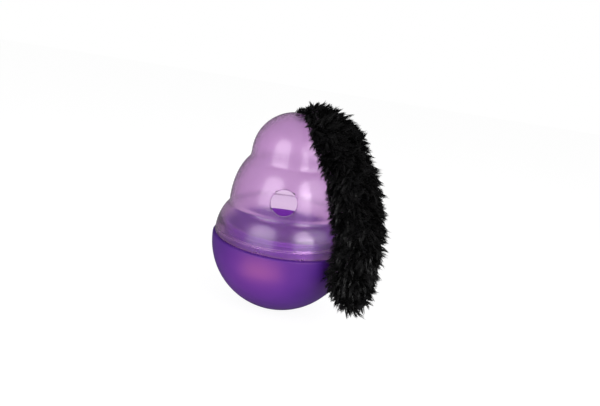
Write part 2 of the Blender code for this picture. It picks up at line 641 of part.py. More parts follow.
def make_tail(parts, fur, filling):
    """The tail in three lengths that turn on one another, as the soft tail bends."""
    controls = tail_controls()
    upper = smooth_run(controls, ROOT, FIRST_BEND)
    middle = smooth_run(controls, FIRST_BEND, SECOND_BEND)
    lower = smooth_run(controls, SECOND_BEND, len(controls) - 1)
    root, first_bend, second_bend = (run[0][0] for run in (upper, middle, lower))
    swivel_pivot = make_pivot("tail_swivel_pivot", (0, 0, 0), None, parts)
    swivel_pivot.rotation_euler.z = TAIL_AZIMUTH
    lift_pivot = make_pivot("tail_lift_pivot", root, swivel_pivot, parts)
    upper_pivot = make_pivot("tail_bend_upper_pivot", first_bend - root, lift_pivot, parts)
    lower_pivot = make_pivot("tail_bend_lower_pivot", second_bend - first_bend, upper_pivot, parts)
    make_hanging_piece("upper", upper, middle[0], lift_pivot, parts, fur, filling)
    make_hanging_piece("middle", middle, lower[0], upper_pivot, parts, fur, filling)
    make_tip_piece(lower, lower_pivot, parts, fur, filling)


def main():
    clear_scene()
    parts = new_collection("treat_dispensing_toy")
    cutters = new_collection("cutters")
    cutters.hide_render = True
    deep_purple = new_material("deep_purple", (0.10, 0.03, 0.27), 0.35)
    lilac = new_material("lilac_clear", (0.52, 0.30, 0.60), 0.20)
    iron = new_material("iron", (0.25, 0.25, 0.26), 0.55, 1.0)
    steel = new_material("steel", (0.60, 0.60, 0.62), 0.30, 1.0)
    pin_purple = new_material("pin_purple", (0.12, 0.04, 0.30), 0.40)
    black_fur = new_material("black_fur", (0.012, 0.012, 0.014), 0.85)
    white_fibre = new_material("white_fibre", (0.80, 0.80, 0.78), 0.95)
    black_webbing = new_material("black_webbing", (0.02, 0.02, 0.022), 0.80)

    make_base_bowl(parts, deep_purple)
    make_ballast(parts, iron)
    make_ballast_screw(parts, cutters, steel)
    make_treat_cup(parts, cutters, deep_purple)
    make_dome(parts, cutters, lilac)
    make_retaining_washer(parts, steel)
    make_swivel_pin(parts, pin_purple)
    make_tail_tab(parts, cutters, black_webbing)
    make_tail(parts, black_fur, white_fibre)

    bpy.context.view_layer.update()
    depsgraph = bpy.context.evaluated_depsgraph_get()
    for piece in [made for made in parts.objects if made.type == "MESH"]:
        settle(piece, depsgraph)


main()
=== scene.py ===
# %% [markdown]
# # A wobbling treat toy with a furry tail
# The toy has four finishes that a cat owner would know at once: a weighted base in deep purple
# plastic, a see-through lilac dome of three bulbs, the dark treat cup that shows through it, and a
# black tail of long pile. This lesson dresses the imported solid model in those finishes. Each piece
# that can be seen is modelled again as a smooth mesh in the place that the imported model gives it,
# and the hard pieces and the short pile on the tab ride on the body that they move with.

import math

import bmesh
import bpy
import numpy as np
from mathutils import Matrix, Vector
from mathutils.geometry import interpolate_bezier


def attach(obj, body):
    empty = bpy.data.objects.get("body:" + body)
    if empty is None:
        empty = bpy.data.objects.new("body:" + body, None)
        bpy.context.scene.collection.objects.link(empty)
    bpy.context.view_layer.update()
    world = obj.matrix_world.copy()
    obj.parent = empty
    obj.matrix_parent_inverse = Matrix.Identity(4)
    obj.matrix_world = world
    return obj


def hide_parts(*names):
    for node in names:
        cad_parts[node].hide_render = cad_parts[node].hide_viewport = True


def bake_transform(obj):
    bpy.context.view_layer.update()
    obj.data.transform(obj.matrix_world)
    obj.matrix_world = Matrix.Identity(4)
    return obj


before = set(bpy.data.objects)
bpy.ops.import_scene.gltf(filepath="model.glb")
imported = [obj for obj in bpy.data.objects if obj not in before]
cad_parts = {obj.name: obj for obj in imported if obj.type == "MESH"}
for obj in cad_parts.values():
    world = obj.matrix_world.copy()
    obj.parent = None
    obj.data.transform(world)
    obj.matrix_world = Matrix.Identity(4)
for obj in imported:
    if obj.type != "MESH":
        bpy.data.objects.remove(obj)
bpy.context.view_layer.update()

# %% [markdown]
# ## The camera
# The photograph was taken from a little above the treat hole with the picture tilted by about nine
# degrees, so the toy seems to lean. A camera's columns are its own right, up and backward
# directions. They are worked out here from where it stands, the way it looks and its roll.

# %% Camera
CAMERA_PLACE = Vector((0.02113, -0.32860, 0.15025))
CAMERA_SWING = math.radians(2.4)  # how far the camera's right side turns away from +X
CAMERA_DIP = math.radians(14.2)
CAMERA_ROLL = math.radians(8.96)
CAMERA_LENS = 33.48
SENSOR_WIDTH = 36.0
CAMERA_NEAREST = 0.01


def new_object(name, data):
    """A new object that is in the scene."""
    made = bpy.data.objects.new(name, data)
    bpy.context.scene.collection.objects.link(made)
    return made


def make_camera():
    right = Vector((math.cos(CAMERA_SWING), math.sin(CAMERA_SWING), 0))
    level = Vector((-math.sin(CAMERA_SWING), math.cos(CAMERA_SWING), 0))
    forward = level * math.cos(CAMERA_DIP) - Vector((0, 0, math.sin(CAMERA_DIP)))
    up = right.cross(forward)
    across = right * math.cos(CAMERA_ROLL) + up * math.sin(CAMERA_ROLL)
    upward = up * math.cos(CAMERA_ROLL) - right * math.sin(CAMERA_ROLL)
    lens = bpy.data.cameras.new("camera")
    lens.lens = CAMERA_LENS
    lens.sensor_width = SENSOR_WIDTH
    lens.clip_start = CAMERA_NEAREST
    camera = new_object("camera", lens)
    turn = Matrix((across, upward, -forward)).transposed().to_4x4()
    camera.matrix_world = Matrix.Translation(CAMERA_PLACE) @ turn
    bpy.context.scene.camera = camera
    return camera


camera = make_camera()
print("camera looks along", [round(c, 3) for c in -camera.matrix_world.col[2].xyz])

# %% [markdown]
# ## Small helpers for node materials
# A material here is a Principled BSDF whose plain numbers stand on its own sockets, with a few
# texture nodes beside it. These helpers keep each material's cell short enough to read as a recipe.

# %% Material helpers
def new_material(name, **values):
    """A material with these values on its Principled BSDF, named with underscores for spaces."""
    material = bpy.data.materials.new(name)
    material.use_nodes = True
    shader = material.node_tree.nodes["Principled BSDF"]
    for socket, value in values.items():
        shader.inputs[socket.replace("_", " ")].default_value = value
    return material


def add_node(material, kind, links=(), **values):
    """A new node with these values or fields, joined from the (socket, source) pairs in links."""
    node = material.node_tree.nodes.new("ShaderNode" + kind)
    for name, value in values.items():
        if name in node.bl_rna.properties:
            setattr(node, name, value)
        else:
            node.inputs[name.replace("_", " ")].default_value = value
    for socket, source in links:
        material.node_tree.links.new(source, node.inputs[socket])
    return node


def shader_of(material):
    return material.node_tree.nodes["Principled BSDF"]


def join(material, source, node, socket):
    material.node_tree.links.new(source, node.inputs[socket])


def object_place(material):
    """The piece's own coordinates, in metres."""
    return add_node(material, "TexCoord").outputs["Object"]


def noise(material, scale, detail=3.0, stretch=(1, 1, 1)):
    """A noise pattern on the piece's own coordinates, stretched along some axes."""
    mapping = add_node(material, "Mapping", [("Vector", object_place(material))], Scale=stretch)
    return add_node(
        material, "TexNoise", [("Vector", mapping.outputs["Vector"])], Scale=scale, Detail=detail
    ).outputs["Fac"]


def spread(material, factor, low, high):
    """Maps a pattern's middle half on to the range from low to high."""
    return add_node(
        material, "MapRange", [("Value", factor)], From_Min=0.25, From_Max=0.75, To_Min=low, To_Max=high
    ).outputs["Result"]


def colours(material, factor, low, high):
    """A pattern as a run between two colours."""
    ramp = add_node(material, "ValToRGB", [("Fac", factor)])
    for stop, place, colour in zip(ramp.color_ramp.elements, (0.3, 0.7), (low, high)):
        stop.position = place
        stop.color = (*colour, 1)
    return ramp.outputs["Color"]


def add_bump(material, height, strength, distance):
    """Raises the surface by a pattern, whose full swing is worth a distance in metres."""
    bump = add_node(material, "Bump", [("Height", height)], Strength=strength, Distance=distance)
    join(material, bump.outputs["Normal"], shader_of(material), "Normal")


print("material helpers ready")

# %% [markdown]
# ## Floor, backdrop and light
# The toy stands on white that runs out of the picture. The world is plain white wherever the camera
# looks, straight or through clear plastic. Where it lights things or is mirrored it is dimmer, so
# the white doesn't wash the colours out and the round edges stay dark. The floor mixes a lit
# surface with plain white, which keeps a faint shadow, and is dim where it is mirrored. Two tall
# softboxes stand left and right of the camera, brighter in their upper half, and give each bulb its
# pair of upright highlights. The right one gets a copy for the dome later, once the pile is made. A
# small low lamp in front lights the base alone and gives it its broad pink sheen.

# %% Stage and lights
FLOOR_SIZE = 6.0
FLOOR_GLOW = 0.80  # how much of the floor's look is plain white
FLOOR_WHITE = 1.13
FLOOR_MIRRORED = 0.18
WORLD_LIGHT = 0.50
WORLD_MIRRORED = 0.12


def larger_of(tree, first, second):
    node = tree.nodes.new("ShaderNodeMath")
    node.operation = "MAXIMUM"
    tree.links.new(first, node.inputs[0])
    tree.links.new(second, node.inputs[1])
    return node.outputs["Value"]


def seen_ways(tree):
    """One where the camera looks straight or through clear plastic, else zero."""
    path = tree.nodes.new("ShaderNodeLightPath")
    return larger_of(tree, path.outputs["Is Camera Ray"], path.outputs["Is Transmission Ray"])


def mesh_of(work, name):
    """The bmesh as a mesh. The bmesh is freed."""
    mesh = bpy.data.meshes.new(name)
    work.to_mesh(mesh)
    work.free()
    return mesh


def make_floor():
    work = bmesh.new()
    bmesh.ops.create_grid(work, x_segments=1, y_segments=1, size=FLOOR_SIZE / 2)
    floor = new_object("floor", mesh_of(work, "floor"))
    white = new_material("floor_white", Base_Color=(0.86, 0.86, 0.86, 1), Roughness=1.0)
    tree = white.node_tree
    seen = seen_ways(tree)
    level = add_node(white, "MapRange", [("Value", seen)], To_Min=FLOOR_MIRRORED, To_Max=FLOOR_WHITE)
    glow = add_node(white, "Emission", [("Strength", level.outputs["Result"])])
    seen_share = add_node(white, "MapRange", [("Value", seen)], To_Max=FLOOR_GLOW)
    mirrored = add_node(white, "LightPath").outputs["Is Glossy Ray"]
    share = larger_of(tree, seen_share.outputs["Result"], mirrored)
    mixed = add_node(
        white, "MixShader",
        [(0, share), (1, shader_of(white).outputs["BSDF"]), (2, glow.outputs["Emission"])],
    )
    join(white, mixed.outputs["Shader"], tree.nodes["Material Output"], "Surface")
    floor.data.materials.append(white)


def make_world():
    world = bpy.data.worlds.new("white_world")
    world.use_nodes = True
    tree = world.node_tree
    unseen = tree.nodes.new("ShaderNodeMapRange")
    unseen.inputs["To Min"].default_value = WORLD_LIGHT
    unseen.inputs["To Max"].default_value = WORLD_MIRRORED
    tree.links.new(tree.nodes.new("ShaderNodeLightPath").outputs["Is Glossy Ray"], unseen.inputs["Value"])
    strength = tree.nodes.new("ShaderNodeMapRange")
    tree.links.new(seen_ways(tree), strength.inputs["Value"])
    tree.links.new(unseen.outputs["Result"], strength.inputs["To Min"])
    strength.inputs["To Max"].default_value = 1.0
    background = tree.nodes["Background"]
    background.inputs["Color"].default_value = (1, 1, 1, 1)
    tree.links.new(strength.outputs["Result"], background.inputs["Strength"])
    bpy.context.scene.world = world


SOFTBOX_DISTANCE = 0.62
HIGH_FROM, HIGH_TO = 0.18, 0.68
LOW_FROM, LOW_TO = 0.01, 0.36
LOW_LAMP_PLACE = (-0.021, -0.070, 0.002)
LOW_LAMP_FACING = (-0.016, -0.055, 0.05)
LOW_LAMP_SIZE = 0.070
LOW_LAMP_RADIANCE = 4.6
LOW_LAMP_TINT = (1, 0.62, 0.42)


def make_lamp(name, place, facing, width, height, radiance, shape="RECTANGLE", tint=(1, 1, 1)):
    """An area lamp as bright as its radiance says, facing a point."""
    light = bpy.data.lights.new(name, "AREA")
    light.shape = shape
    light.size = width
    light.size_y = height
    area = width * height * (math.pi / 4 if shape == "ELLIPSE" else 1)
    light.energy = radiance * math.pi * area
    light.color = tint
    lamp = new_object(name, light)
    lamp.location = place
    lamp.rotation_euler = (Vector(facing) - Vector(place)).to_track_quat("-Z", "Y").to_euler()
    return lamp


softboxes = {}


def make_softbox(side, azimuth, width, high, low):
    """A round-topped panel over a dimmer one, both at an azimuth from the treat hole's side."""
    angle = math.radians(azimuth)
    x, y = math.sin(angle) * SOFTBOX_DISTANCE, -math.cos(angle) * SOFTBOX_DISTANCE
    panels = (("high", "ELLIPSE", HIGH_FROM, HIGH_TO, high), ("low", "RECTANGLE", LOW_FROM, LOW_TO, low))
    for level, shape, low_z, high_z, radiance in panels:
        z = (low_z + high_z) / 2
        name = f"softbox_{side}_{level}"
        softboxes[name] = make_lamp(name, (x, y, z), (0, 0, z), width, high_z - low_z, radiance, shape)


make_floor()
make_world()
make_softbox("left", azimuth=-31, width=0.50, high=2.3, low=1.8)
make_softbox("right", azimuth=54, width=0.74, high=2.8, low=1.8)
low_lamp = make_lamp(
    "low_lamp", LOW_LAMP_PLACE, LOW_LAMP_FACING, LOW_LAMP_SIZE, LOW_LAMP_SIZE, LOW_LAMP_RADIANCE,
    tint=LOW_LAMP_TINT,
)
low_lamp.visible_camera = False
scene = bpy.context.scene
scene.view_settings.view_transform = "Standard"

# %% [markdown]
# ## Turned pieces
# The base, the cup, the dome and the pin are all round, so each starts as an outline of a few
# (radius, height) points in one half plane, with its bulbs as true arcs. The spin operator sweeps
# it about Z. An outline that starts and ends on the axis stays open there, and the spin closes it.
# A bevel on chosen rings then gives the small moulded radius that catches the light.

# %% Turning helpers
TURN_STEPS = 96
WELD = 0.000005
FIT_GAP = 0.0003
SHARP_ANGLE = math.radians(35)


def arc(mid, centre_z, width, height, from_angle, to_angle, steps):
    """Points on part of an ellipse, with angles measured up from its widest ring."""
    angles = [from_angle + (to_angle - from_angle) * i / steps for i in range(steps + 1)]
    return [(mid + width * math.cos(a), centre_z + height * math.sin(a)) for a in angles]


def turned(outline, closed, steps=TURN_STEPS):
    """A bmesh of an outline swept once round Z."""
    work = bmesh.new()
    corners = [work.verts.new((radius, 0, height)) for radius, height in outline]
    pairs = list(zip(corners, corners[1:]))
    if closed:
        pairs.append((corners[-1], corners[0]))
    edges = [work.edges.new(pair) for pair in pairs]
    bmesh.ops.spin(
        work, geom=corners + edges, cent=(0, 0, 0), axis=(0, 0, 1), angle=math.tau, steps=steps,
        use_merge=True,
    )
    bmesh.ops.remove_doubles(work, verts=work.verts, dist=WELD)
    bmesh.ops.recalc_face_normals(work, faces=work.faces)
    return work


def soften(work, rings, offset, segments=3):
    """Bevels the rings of edges that lie at these (radius, height) places."""
    edges = []
    for edge in work.edges:
        for radius, height in rings:
            if all(abs(v.co.xy.length - radius) < WELD and abs(v.co.z - height) < WELD for v in edge.verts):
                edges.append(edge)
                break
    bmesh.ops.bevel(
        work, geom=edges, offset=offset, segments=segments, profile=0.5, affect="EDGES", material=-1
    )


def finished(work, name, material):
    """The bmesh as a new object at the origin, shaded smooth between its sharp edges."""
    mesh = mesh_of(work, name)
    mesh.shade_smooth()
    mesh.set_sharp_from_angle(angle=SHARP_ANGLE)
    mesh.materials.append(material)
    return new_object(name, mesh)


def report(piece):
    print(piece.name, "has", sum(len(f.vertices) - 2 for f in piece.data.polygons), "triangles")


print("turning helpers ready")

# %% [markdown]
# ## Deep purple plastic
# The base is moulded in an opaque purple with a satin skin. The colour is bluish, and where a lamp
# meets it the sheen is pink rather than white, which is what a pearl pigment does. The shader has a
# tint for just that: the reflection seen face on takes it, and the reflection at the edge doesn't.
# Slow noise varies the gloss and very fine noise gives the skin its moulded tooth.

# %% Purple plastic
BASE_TONES = ((0.056, 0.011, 0.218), (0.066, 0.014, 0.238))
CUP_TONES = ((0.165, 0.036, 0.350), (0.185, 0.042, 0.380))


def make_purple(name, shine, roughness, tones):
    purple = new_material(name, Specular_IOR_Level=shine, Specular_Tint=(1.0, 0.45, 0.55, 1), IOR=1.5)
    join(purple, colours(purple, noise(purple, 60), *tones), shader_of(purple), "Base Color")
    low, high = roughness
    join(purple, spread(purple, noise(purple, 90), low, high), shader_of(purple), "Roughness")
    add_bump(purple, noise(purple, 4000, detail=1.0), 0.12, 0.00004)
    return purple


base_purple = make_purple("base_purple", 0.9, (0.44, 0.50), BASE_TONES)
cup_purple = make_purple("cup_purple", 0.5, (0.30, 0.36), CUP_TONES)
print("purple plastics ready")

# %% [markdown]
# ## The weighted base
# On the real toy the base is a thin bowl, round below with a small flat foot, and its rim stands a
# little proud of the dome. Its wall, the ledge for the cup and the boss for the weight's screw are
# all in one outline. The foot's edge and the rim get a moulded radius.

# %% Base bowl
BASE_RADIUS = 0.0430
BASE_WALL = 0.0022
BASE_FLOOR = 0.0024
FOOT_RADIUS = 0.0085
SEAM_RISE = 0.0021
LEDGE_WIDTH = 0.0013
LEDGE_HEIGHT = 0.0016
BOSS_RADIUS = 0.0040
BOSS_HEIGHT = 0.0075
BORE_RADIUS = 0.0017
BORE_FLOOR_Z = 0.0042
FLANGE_THICKNESS = 0.0015
RIM_ROUNDING = 0.0008
RIM_INNER_ROUNDING = 0.0004
FOOT_ROUNDING = 0.0006
BASE_STEPS = 40  # spans in the bowl's outer arc
BASE_INNER_STEPS = 24

base_centre_z = math.sqrt(BASE_RADIUS**2 - FOOT_RADIUS**2)
seam_z = base_centre_z + SEAM_RISE
base_inner = BASE_RADIUS - BASE_WALL
rim_radius = math.sqrt(BASE_RADIUS**2 - SEAM_RISE**2)
rim_inner = math.sqrt(base_inner**2 - SEAM_RISE**2)
flange_under_z = seam_z - FLANGE_THICKNESS


def make_base():
    ledge_z = flange_under_z - FIT_GAP
    ledge_under_z = ledge_z - LEDGE_HEIGHT
    ledge_foot_z = ledge_under_z - LEDGE_WIDTH
    foot_angle = -math.acos(FOOT_RADIUS / BASE_RADIUS)
    rim_angle = math.asin(SEAM_RISE / BASE_RADIUS)
    floor_angle = -math.asin((base_centre_z - BASE_FLOOR) / base_inner)
    ledge_angle = -math.asin((base_centre_z - ledge_foot_z) / base_inner)
    boss_top_z = BASE_FLOOR + BOSS_HEIGHT
    side = arc(0, base_centre_z, BASE_RADIUS, BASE_RADIUS, rim_angle, foot_angle, BASE_STEPS)
    outline = [(0, 0)] + side[::-1]
    outline += [(rim_inner, seam_z), (rim_inner, ledge_z), (rim_inner - LEDGE_WIDTH, ledge_z)]
    outline += [(rim_inner - LEDGE_WIDTH, ledge_under_z)]
    outline += arc(0, base_centre_z, base_inner, base_inner, ledge_angle, floor_angle, BASE_INNER_STEPS)
    outline += [(BOSS_RADIUS, BASE_FLOOR), (BOSS_RADIUS, boss_top_z), (BORE_RADIUS, boss_top_z)]
    outline += [(BORE_RADIUS, BORE_FLOOR_Z), (0, BORE_FLOOR_Z)]
    work = turned(outline, closed=False)
    soften(work, [(rim_inner, seam_z)], RIM_INNER_ROUNDING)
    soften(work, [(rim_radius, seam_z)], RIM_ROUNDING, segments=5)
    soften(work, [(FOOT_RADIUS, 0)], FOOT_ROUNDING)
    return finished(work, "base_shell", base_purple)


base_shell = make_base()
lit_by_low_lamp = bpy.data.collections.new("lit_by_low_lamp")
lit_by_low_lamp.objects.link(base_shell)
low_lamp.light_linking.receiver_collection = lit_by_low_lamp
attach(base_shell, "base")
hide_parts("base_bowl")
report(base_shell)

# %% [markdown]
# ## A screw thread
# A thread bead is a small circle swept round and up at once, which the same spin operator does when
# it is given a rise for each step. Its rings shrink towards both ends, as a moulded thread runs out.
# A Boolean union then makes it one with the wall that carries it, so clear plastic has no hidden
# faces inside.

# %% Thread and Boolean helpers
THREAD_LEAD = 0.0080
THREAD_STARTS = 2
THREAD_BEAD_RADIUS = 0.0006
THREAD_SPACE = 0.0016
NECK_THREAD_RISE = 0.0019
NECK_THREAD_TURN = math.radians(200)
DOME_THREAD_TURN = math.radians(180)
THREAD_START = math.radians(105)
BEAD_SIDES = 12
THREADED_TURN_STEPS = 144
BEAD_TAPER_STEPS = 6
BEAD_END_SHARE = 0.25


def bead(name, radius, first_z, first_angle, turn):
    """A closed helical bead, as an object that a Boolean can use."""
    work = bmesh.new()
    stand = Matrix.Rotation(first_angle, 4, "Z") @ Matrix.Translation((radius, 0, first_z))
    stand = stand @ Matrix.Rotation(math.pi / 2, 4, "X")
    circle = bmesh.ops.create_circle(
        work, cap_ends=True, segments=BEAD_SIDES, radius=THREAD_BEAD_RADIUS, matrix=stand
    )["verts"]
    steps = round(turn / math.tau * THREADED_TURN_STEPS)
    rise = THREAD_LEAD * turn / math.tau / steps
    bmesh.ops.spin(
        work, geom=circle + work.edges[:] + work.faces[:], cent=(0, 0, 0), axis=(0, 0, 1),
        dvec=(0, 0, rise), angle=turn, steps=steps,
    )
    work.verts.ensure_lookup_table()
    for step in range(steps + 1):
        ring = work.verts[step * BEAD_SIDES:(step + 1) * BEAD_SIDES]
        centre = sum((v.co for v in ring), Vector()) / BEAD_SIDES
        from_end = min(step, steps - step)
        share = min(1, BEAD_END_SHARE + (1 - BEAD_END_SHARE) * from_end / BEAD_TAPER_STEPS)
        for corner in ring:
            corner.co = centre + (corner.co - centre) * share
    bmesh.ops.recalc_face_normals(work, faces=work.faces)
    return new_object(name, mesh_of(work, name))


def combine(piece, operation, tools):
    """Applies a Boolean to the piece with each tool in turn, and removes the tools."""
    for tool in tools:
        step = piece.modifiers.new(tool.name, "BOOLEAN")
        step.operation = operation
        step.solver = "EXACT"
        step.object = tool
    bpy.context.view_layer.update()
    mesh = bpy.data.meshes.new_from_object(piece.evaluated_get(bpy.context.evaluated_depsgraph_get()))
    mesh.name = piece.name
    piece.modifiers.clear()
    piece.data = mesh
    for tool in tools:
        bpy.data.objects.remove(tool)


print("thread helpers ready")

# %% [markdown]
# ## The treat cup
# The dark insert closes the base. It has a round bottom that holds the treats, a flange that rests
# on the bowl's ledge, and a neck with a two-start thread outside. It shows through the dome.

# %% Treat cup
CUP_WALL = 0.0022
CUP_BOTTOM_Z = 0.0227
FLANGE_WIDTH = 0.0038
NECK_HEIGHT = 0.0077
CUP_STEPS = 28  # spans in the cup's round bottom
NECK_ROUNDING = 0.0006

flange_radius = rim_inner - FIT_GAP
neck_radius = flange_radius - FLANGE_WIDTH
neck_top_z = seam_z + NECK_HEIGHT
thread_wall_radius = neck_radius + THREAD_SPACE


def make_cup():
    inner = neck_radius - CUP_WALL
    depth = flange_under_z - CUP_BOTTOM_Z
    outline = arc(0, flange_under_z, neck_radius, depth, -math.pi / 2, 0, CUP_STEPS)
    outline += [(flange_radius, flange_under_z), (flange_radius, seam_z), (neck_radius, seam_z)]
    outline += [(neck_radius, neck_top_z), (inner, neck_top_z)]
    outline += arc(0, flange_under_z, inner, depth - CUP_WALL, 0, -math.pi / 2, CUP_STEPS)
    work = turned(outline, closed=False, steps=THREADED_TURN_STEPS)
    soften(work, [(neck_radius, neck_top_z), (inner, neck_top_z)], NECK_ROUNDING)
    cup = finished(work, "cup", cup_purple)
    beads = []
    for start in range(THREAD_STARTS):
        angle = THREAD_START + math.tau * start / THREAD_STARTS
        beads.append(
            bead(f"neck_bead_{start}", neck_radius, seam_z + NECK_THREAD_RISE, angle, NECK_THREAD_TURN)
        )
    combine(cup, "UNION", beads)
    cup.data.set_sharp_from_angle(angle=SHARP_ANGLE)
    return cup


cup = make_cup()
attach(cup, "base")
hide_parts("treat_cup")
report(cup)

# %% [markdown]
# ## Clear lilac plastic
# The dome is tinted and see-through. Part of the tint is given by the faces, once on the way in and
# once on the way out, and part by the plastic itself: the further a ray runs inside the wall, the
# deeper its colour, so the dome's outline is darker than its middle, as on the real toy. A little
# of the light is scattered, which the shader's remaining share does as a plain lit surface. Rays
# from the lamps pass through a tinted transparent surface instead of the bending one, so that the
# cup inside is lit. The foot of the dome, round the thread, is frosted, and the rest is only hazy:
# the roughness follows the height.

# %% Lilac plastic
LILAC = (0.725, 0.53, 0.755)
DEPTH_SHARE = 0.35  # of the tint, given by the plastic's depth and not by its faces
TINTED_DEPTH = 0.0022  # a ray's usual way through the wall
LILAC_CLEARNESS = 0.985
LILAC_ROUGHNESS = (0.18, 0.22)
FOOT_ROUGHNESS = (0.26, 0.32)
FOOT_BAND_Z = (0.0475, 0.0505)  # where the frosted foot ends and the clear wall starts


def absorption():
    """Density and colour with which the wall's depth gives its share of the tint."""
    rates = [-math.log(channel) * DEPTH_SHARE / TINTED_DEPTH for channel in LILAC]
    density = max(rates)
    return density, [1 - rate / density for rate in rates]


def make_lilac():
    face_tint = [channel ** (1 - DEPTH_SHARE) for channel in LILAC]
    lilac = new_material(
        "lilac_clear", Base_Color=(*face_tint, 1), Transmission_Weight=LILAC_CLEARNESS, IOR=1.50,
        Coat_Weight=0.6, Coat_Roughness=0.22, Coat_IOR=1.5,
    )
    grain = noise(lilac, 70)
    height = add_node(lilac, "SeparateXYZ", [("Vector", object_place(lilac))]).outputs["Z"]
    low_z, high_z = FOOT_BAND_Z
    above_foot = add_node(
        lilac, "MapRange", [("Value", height)], From_Min=low_z, From_Max=high_z
    ).outputs["Result"]
    foot, wall = spread(lilac, grain, *FOOT_ROUGHNESS), spread(lilac, grain, *LILAC_ROUGHNESS)
    roughness = add_node(lilac, "MapRange", [("Value", above_foot), ("To Min", foot), ("To Max", wall)])
    join(lilac, roughness.outputs["Result"], shader_of(lilac), "Roughness")
    add_bump(lilac, noise(lilac, 45, detail=1.0), 0.10, 0.0002)
    shade = add_node(lilac, "BsdfTransparent", Color=(*[math.sqrt(c) for c in face_tint], 1))
    path = add_node(lilac, "LightPath")
    mixed = add_node(
        lilac, "MixShader",
        [
            (0, path.outputs["Is Shadow Ray"]),
            (1, shader_of(lilac).outputs["BSDF"]),
            (2, shade.outputs["BSDF"]),
        ],
    )
    output = lilac.node_tree.nodes["Material Output"]
    join(lilac, mixed.outputs["Shader"], output, "Surface")
    density, colour = absorption()
    depth = add_node(lilac, "VolumeAbsorption", Density=density, Color=(*colour, 1))
    join(lilac, depth.outputs["Volume"], output, "Volume")
    return lilac


lilac_clear = make_lilac()
print("lilac plastic ready")

# %% [markdown]
# ## The dome
# Three bulbs sit one on the other. Each is part of an ellipse, and the next bulb starts where it
# has come in to the waist. A smooth curve takes the place of the corner at each waist. The inner
# face is the same outline taken in by the wall, with longer curves. The treat hole is a cylinder cut
# through the front of the middle bulb. Its two rims are bevelled, since a moulded hole has no knife
# edge, and the edges that are too short for the bevel are merged first.

# %% Dome outline
DOME_WALL = 0.0020
LIP_SETBACK = 0.0012
LOWER_BULB_WIDTH = 0.0159
LOWER_BULB_HEIGHT = 0.0231
LOWER_WAIST_INSET = 0.00735
MIDDLE_BULB_SWELL = 0.0007
MIDDLE_BULB_WIDTH = 0.0176
MIDDLE_BULB_HEIGHT = 0.0315
UPPER_WAIST_INSET = 0.0098
UPPER_BULB_SWELL = 0.0004
UPPER_BULB_HEIGHT = 0.0253
WAIST_STEP = 0.0006
UPPER_STEP = 0.0030
PAD_RADIUS = 0.0060
PIN_HOLE_RADIUS = 0.0021
LOWER_WAIST_REACH = 0.0013
UPPER_WAIST_REACH = 0.0016
INNER_LOWER_WAIST_REACH = 0.0024
INNER_UPPER_WAIST_REACH = 0.0026
WAIST_CURVE_STEPS = 8
HANDLE_SHARE = 0.6
BULB_STEPS = 26
LIP_ROUNDING = 0.0005

lip_z = seam_z + FIT_GAP
lip_radius = rim_radius - LIP_SETBACK
lower_waist = lip_radius - LOWER_WAIST_INSET
middle_radius = lower_waist + MIDDLE_BULB_SWELL
upper_waist = middle_radius - UPPER_WAIST_INSET
upper_radius = upper_waist + UPPER_BULB_SWELL
lower_mid = lip_radius - LOWER_BULB_WIDTH
middle_mid = middle_radius - MIDDLE_BULB_WIDTH


def climb(width, height, offset):
    """How high an ellipse of these half sizes stands at this distance from its own middle."""
    return height * math.sqrt(1 - (offset / width) ** 2)


lower_waist_z = seam_z + climb(LOWER_BULB_WIDTH, LOWER_BULB_HEIGHT, lower_waist - lower_mid)
middle_z = lower_waist_z + WAIST_STEP
upper_waist_z = middle_z + climb(MIDDLE_BULB_WIDTH, MIDDLE_BULB_HEIGHT, upper_waist - middle_mid)
upper_z = upper_waist_z + UPPER_STEP
pad_z = upper_z + climb(upper_radius, UPPER_BULB_HEIGHT, PAD_RADIUS)


def dome_side(inset):
    """The dome's side from the lip up to the pad, taken in by an inset."""
    lower_width = LOWER_BULB_WIDTH - inset
    middle_width = MIDDLE_BULB_WIDTH - inset
    top_width = upper_radius - inset
    lower_end = math.acos((lower_waist - inset - lower_mid) / lower_width)
    middle_end = math.acos((upper_waist - inset - middle_mid) / middle_width)
    side = arc(lower_mid, seam_z, lower_width, LOWER_BULB_HEIGHT - inset, 0, lower_end, BULB_STEPS)
    side += arc(middle_mid, middle_z, middle_width, MIDDLE_BULB_HEIGHT - inset, 0, middle_end, BULB_STEPS)
    top_end = math.acos(PAD_RADIUS / top_width)
    side += arc(0, upper_z, top_width, UPPER_BULB_HEIGHT - inset, 0, top_end, BULB_STEPS)
    return side


def rounded(outline, corner, reach):
    """The outline with a smooth curve in place of all points nearer to the corner than the reach."""
    points = [Vector((radius, height, 0)) for radius, height in outline]
    spot = Vector((*corner, 0))
    near = [i for i, point in enumerate(points) if (point - spot).length < reach]
    before, after = near[0] - 1, near[-1] + 1
    first, last = points[before], points[after]
    first_handle = first + (first - points[before - 1]).normalized() * reach * HANDLE_SHARE
    last_handle = last + (last - points[after + 1]).normalized() * reach * HANDLE_SHARE
    curve = interpolate_bezier(first, first_handle, last_handle, last, WAIST_CURVE_STEPS)
    return outline[:before] + [(point.x, point.y) for point in curve] + outline[after + 1:]


def inner_waist(bulb_mid, bulb_foot_z, width, height, waist):
    """Where a bulb's inner arc ends at the waist above it."""
    inner = waist - DOME_WALL
    return inner, bulb_foot_z + climb(width - DOME_WALL, height - DOME_WALL, inner - bulb_mid)


print("dome from", round(lip_z, 4), "to", round(pad_z, 4))

# %% Dome mesh
TREAT_HOLE_RADIUS = 0.0073
TREAT_HOLE_RISE = 0.01025
TREAT_HOLE_TILT = math.radians(8)
TREAT_HOLE_SIDES = 64
HOLE_EDGE = 0.00045
HOLE_TOLERANCE = 0.00003
SHORTEST_RIM_EDGE = 0.0003
CUTTER_LENGTH = 0.030

treat_hole_z = lower_waist_z + TREAT_HOLE_RISE


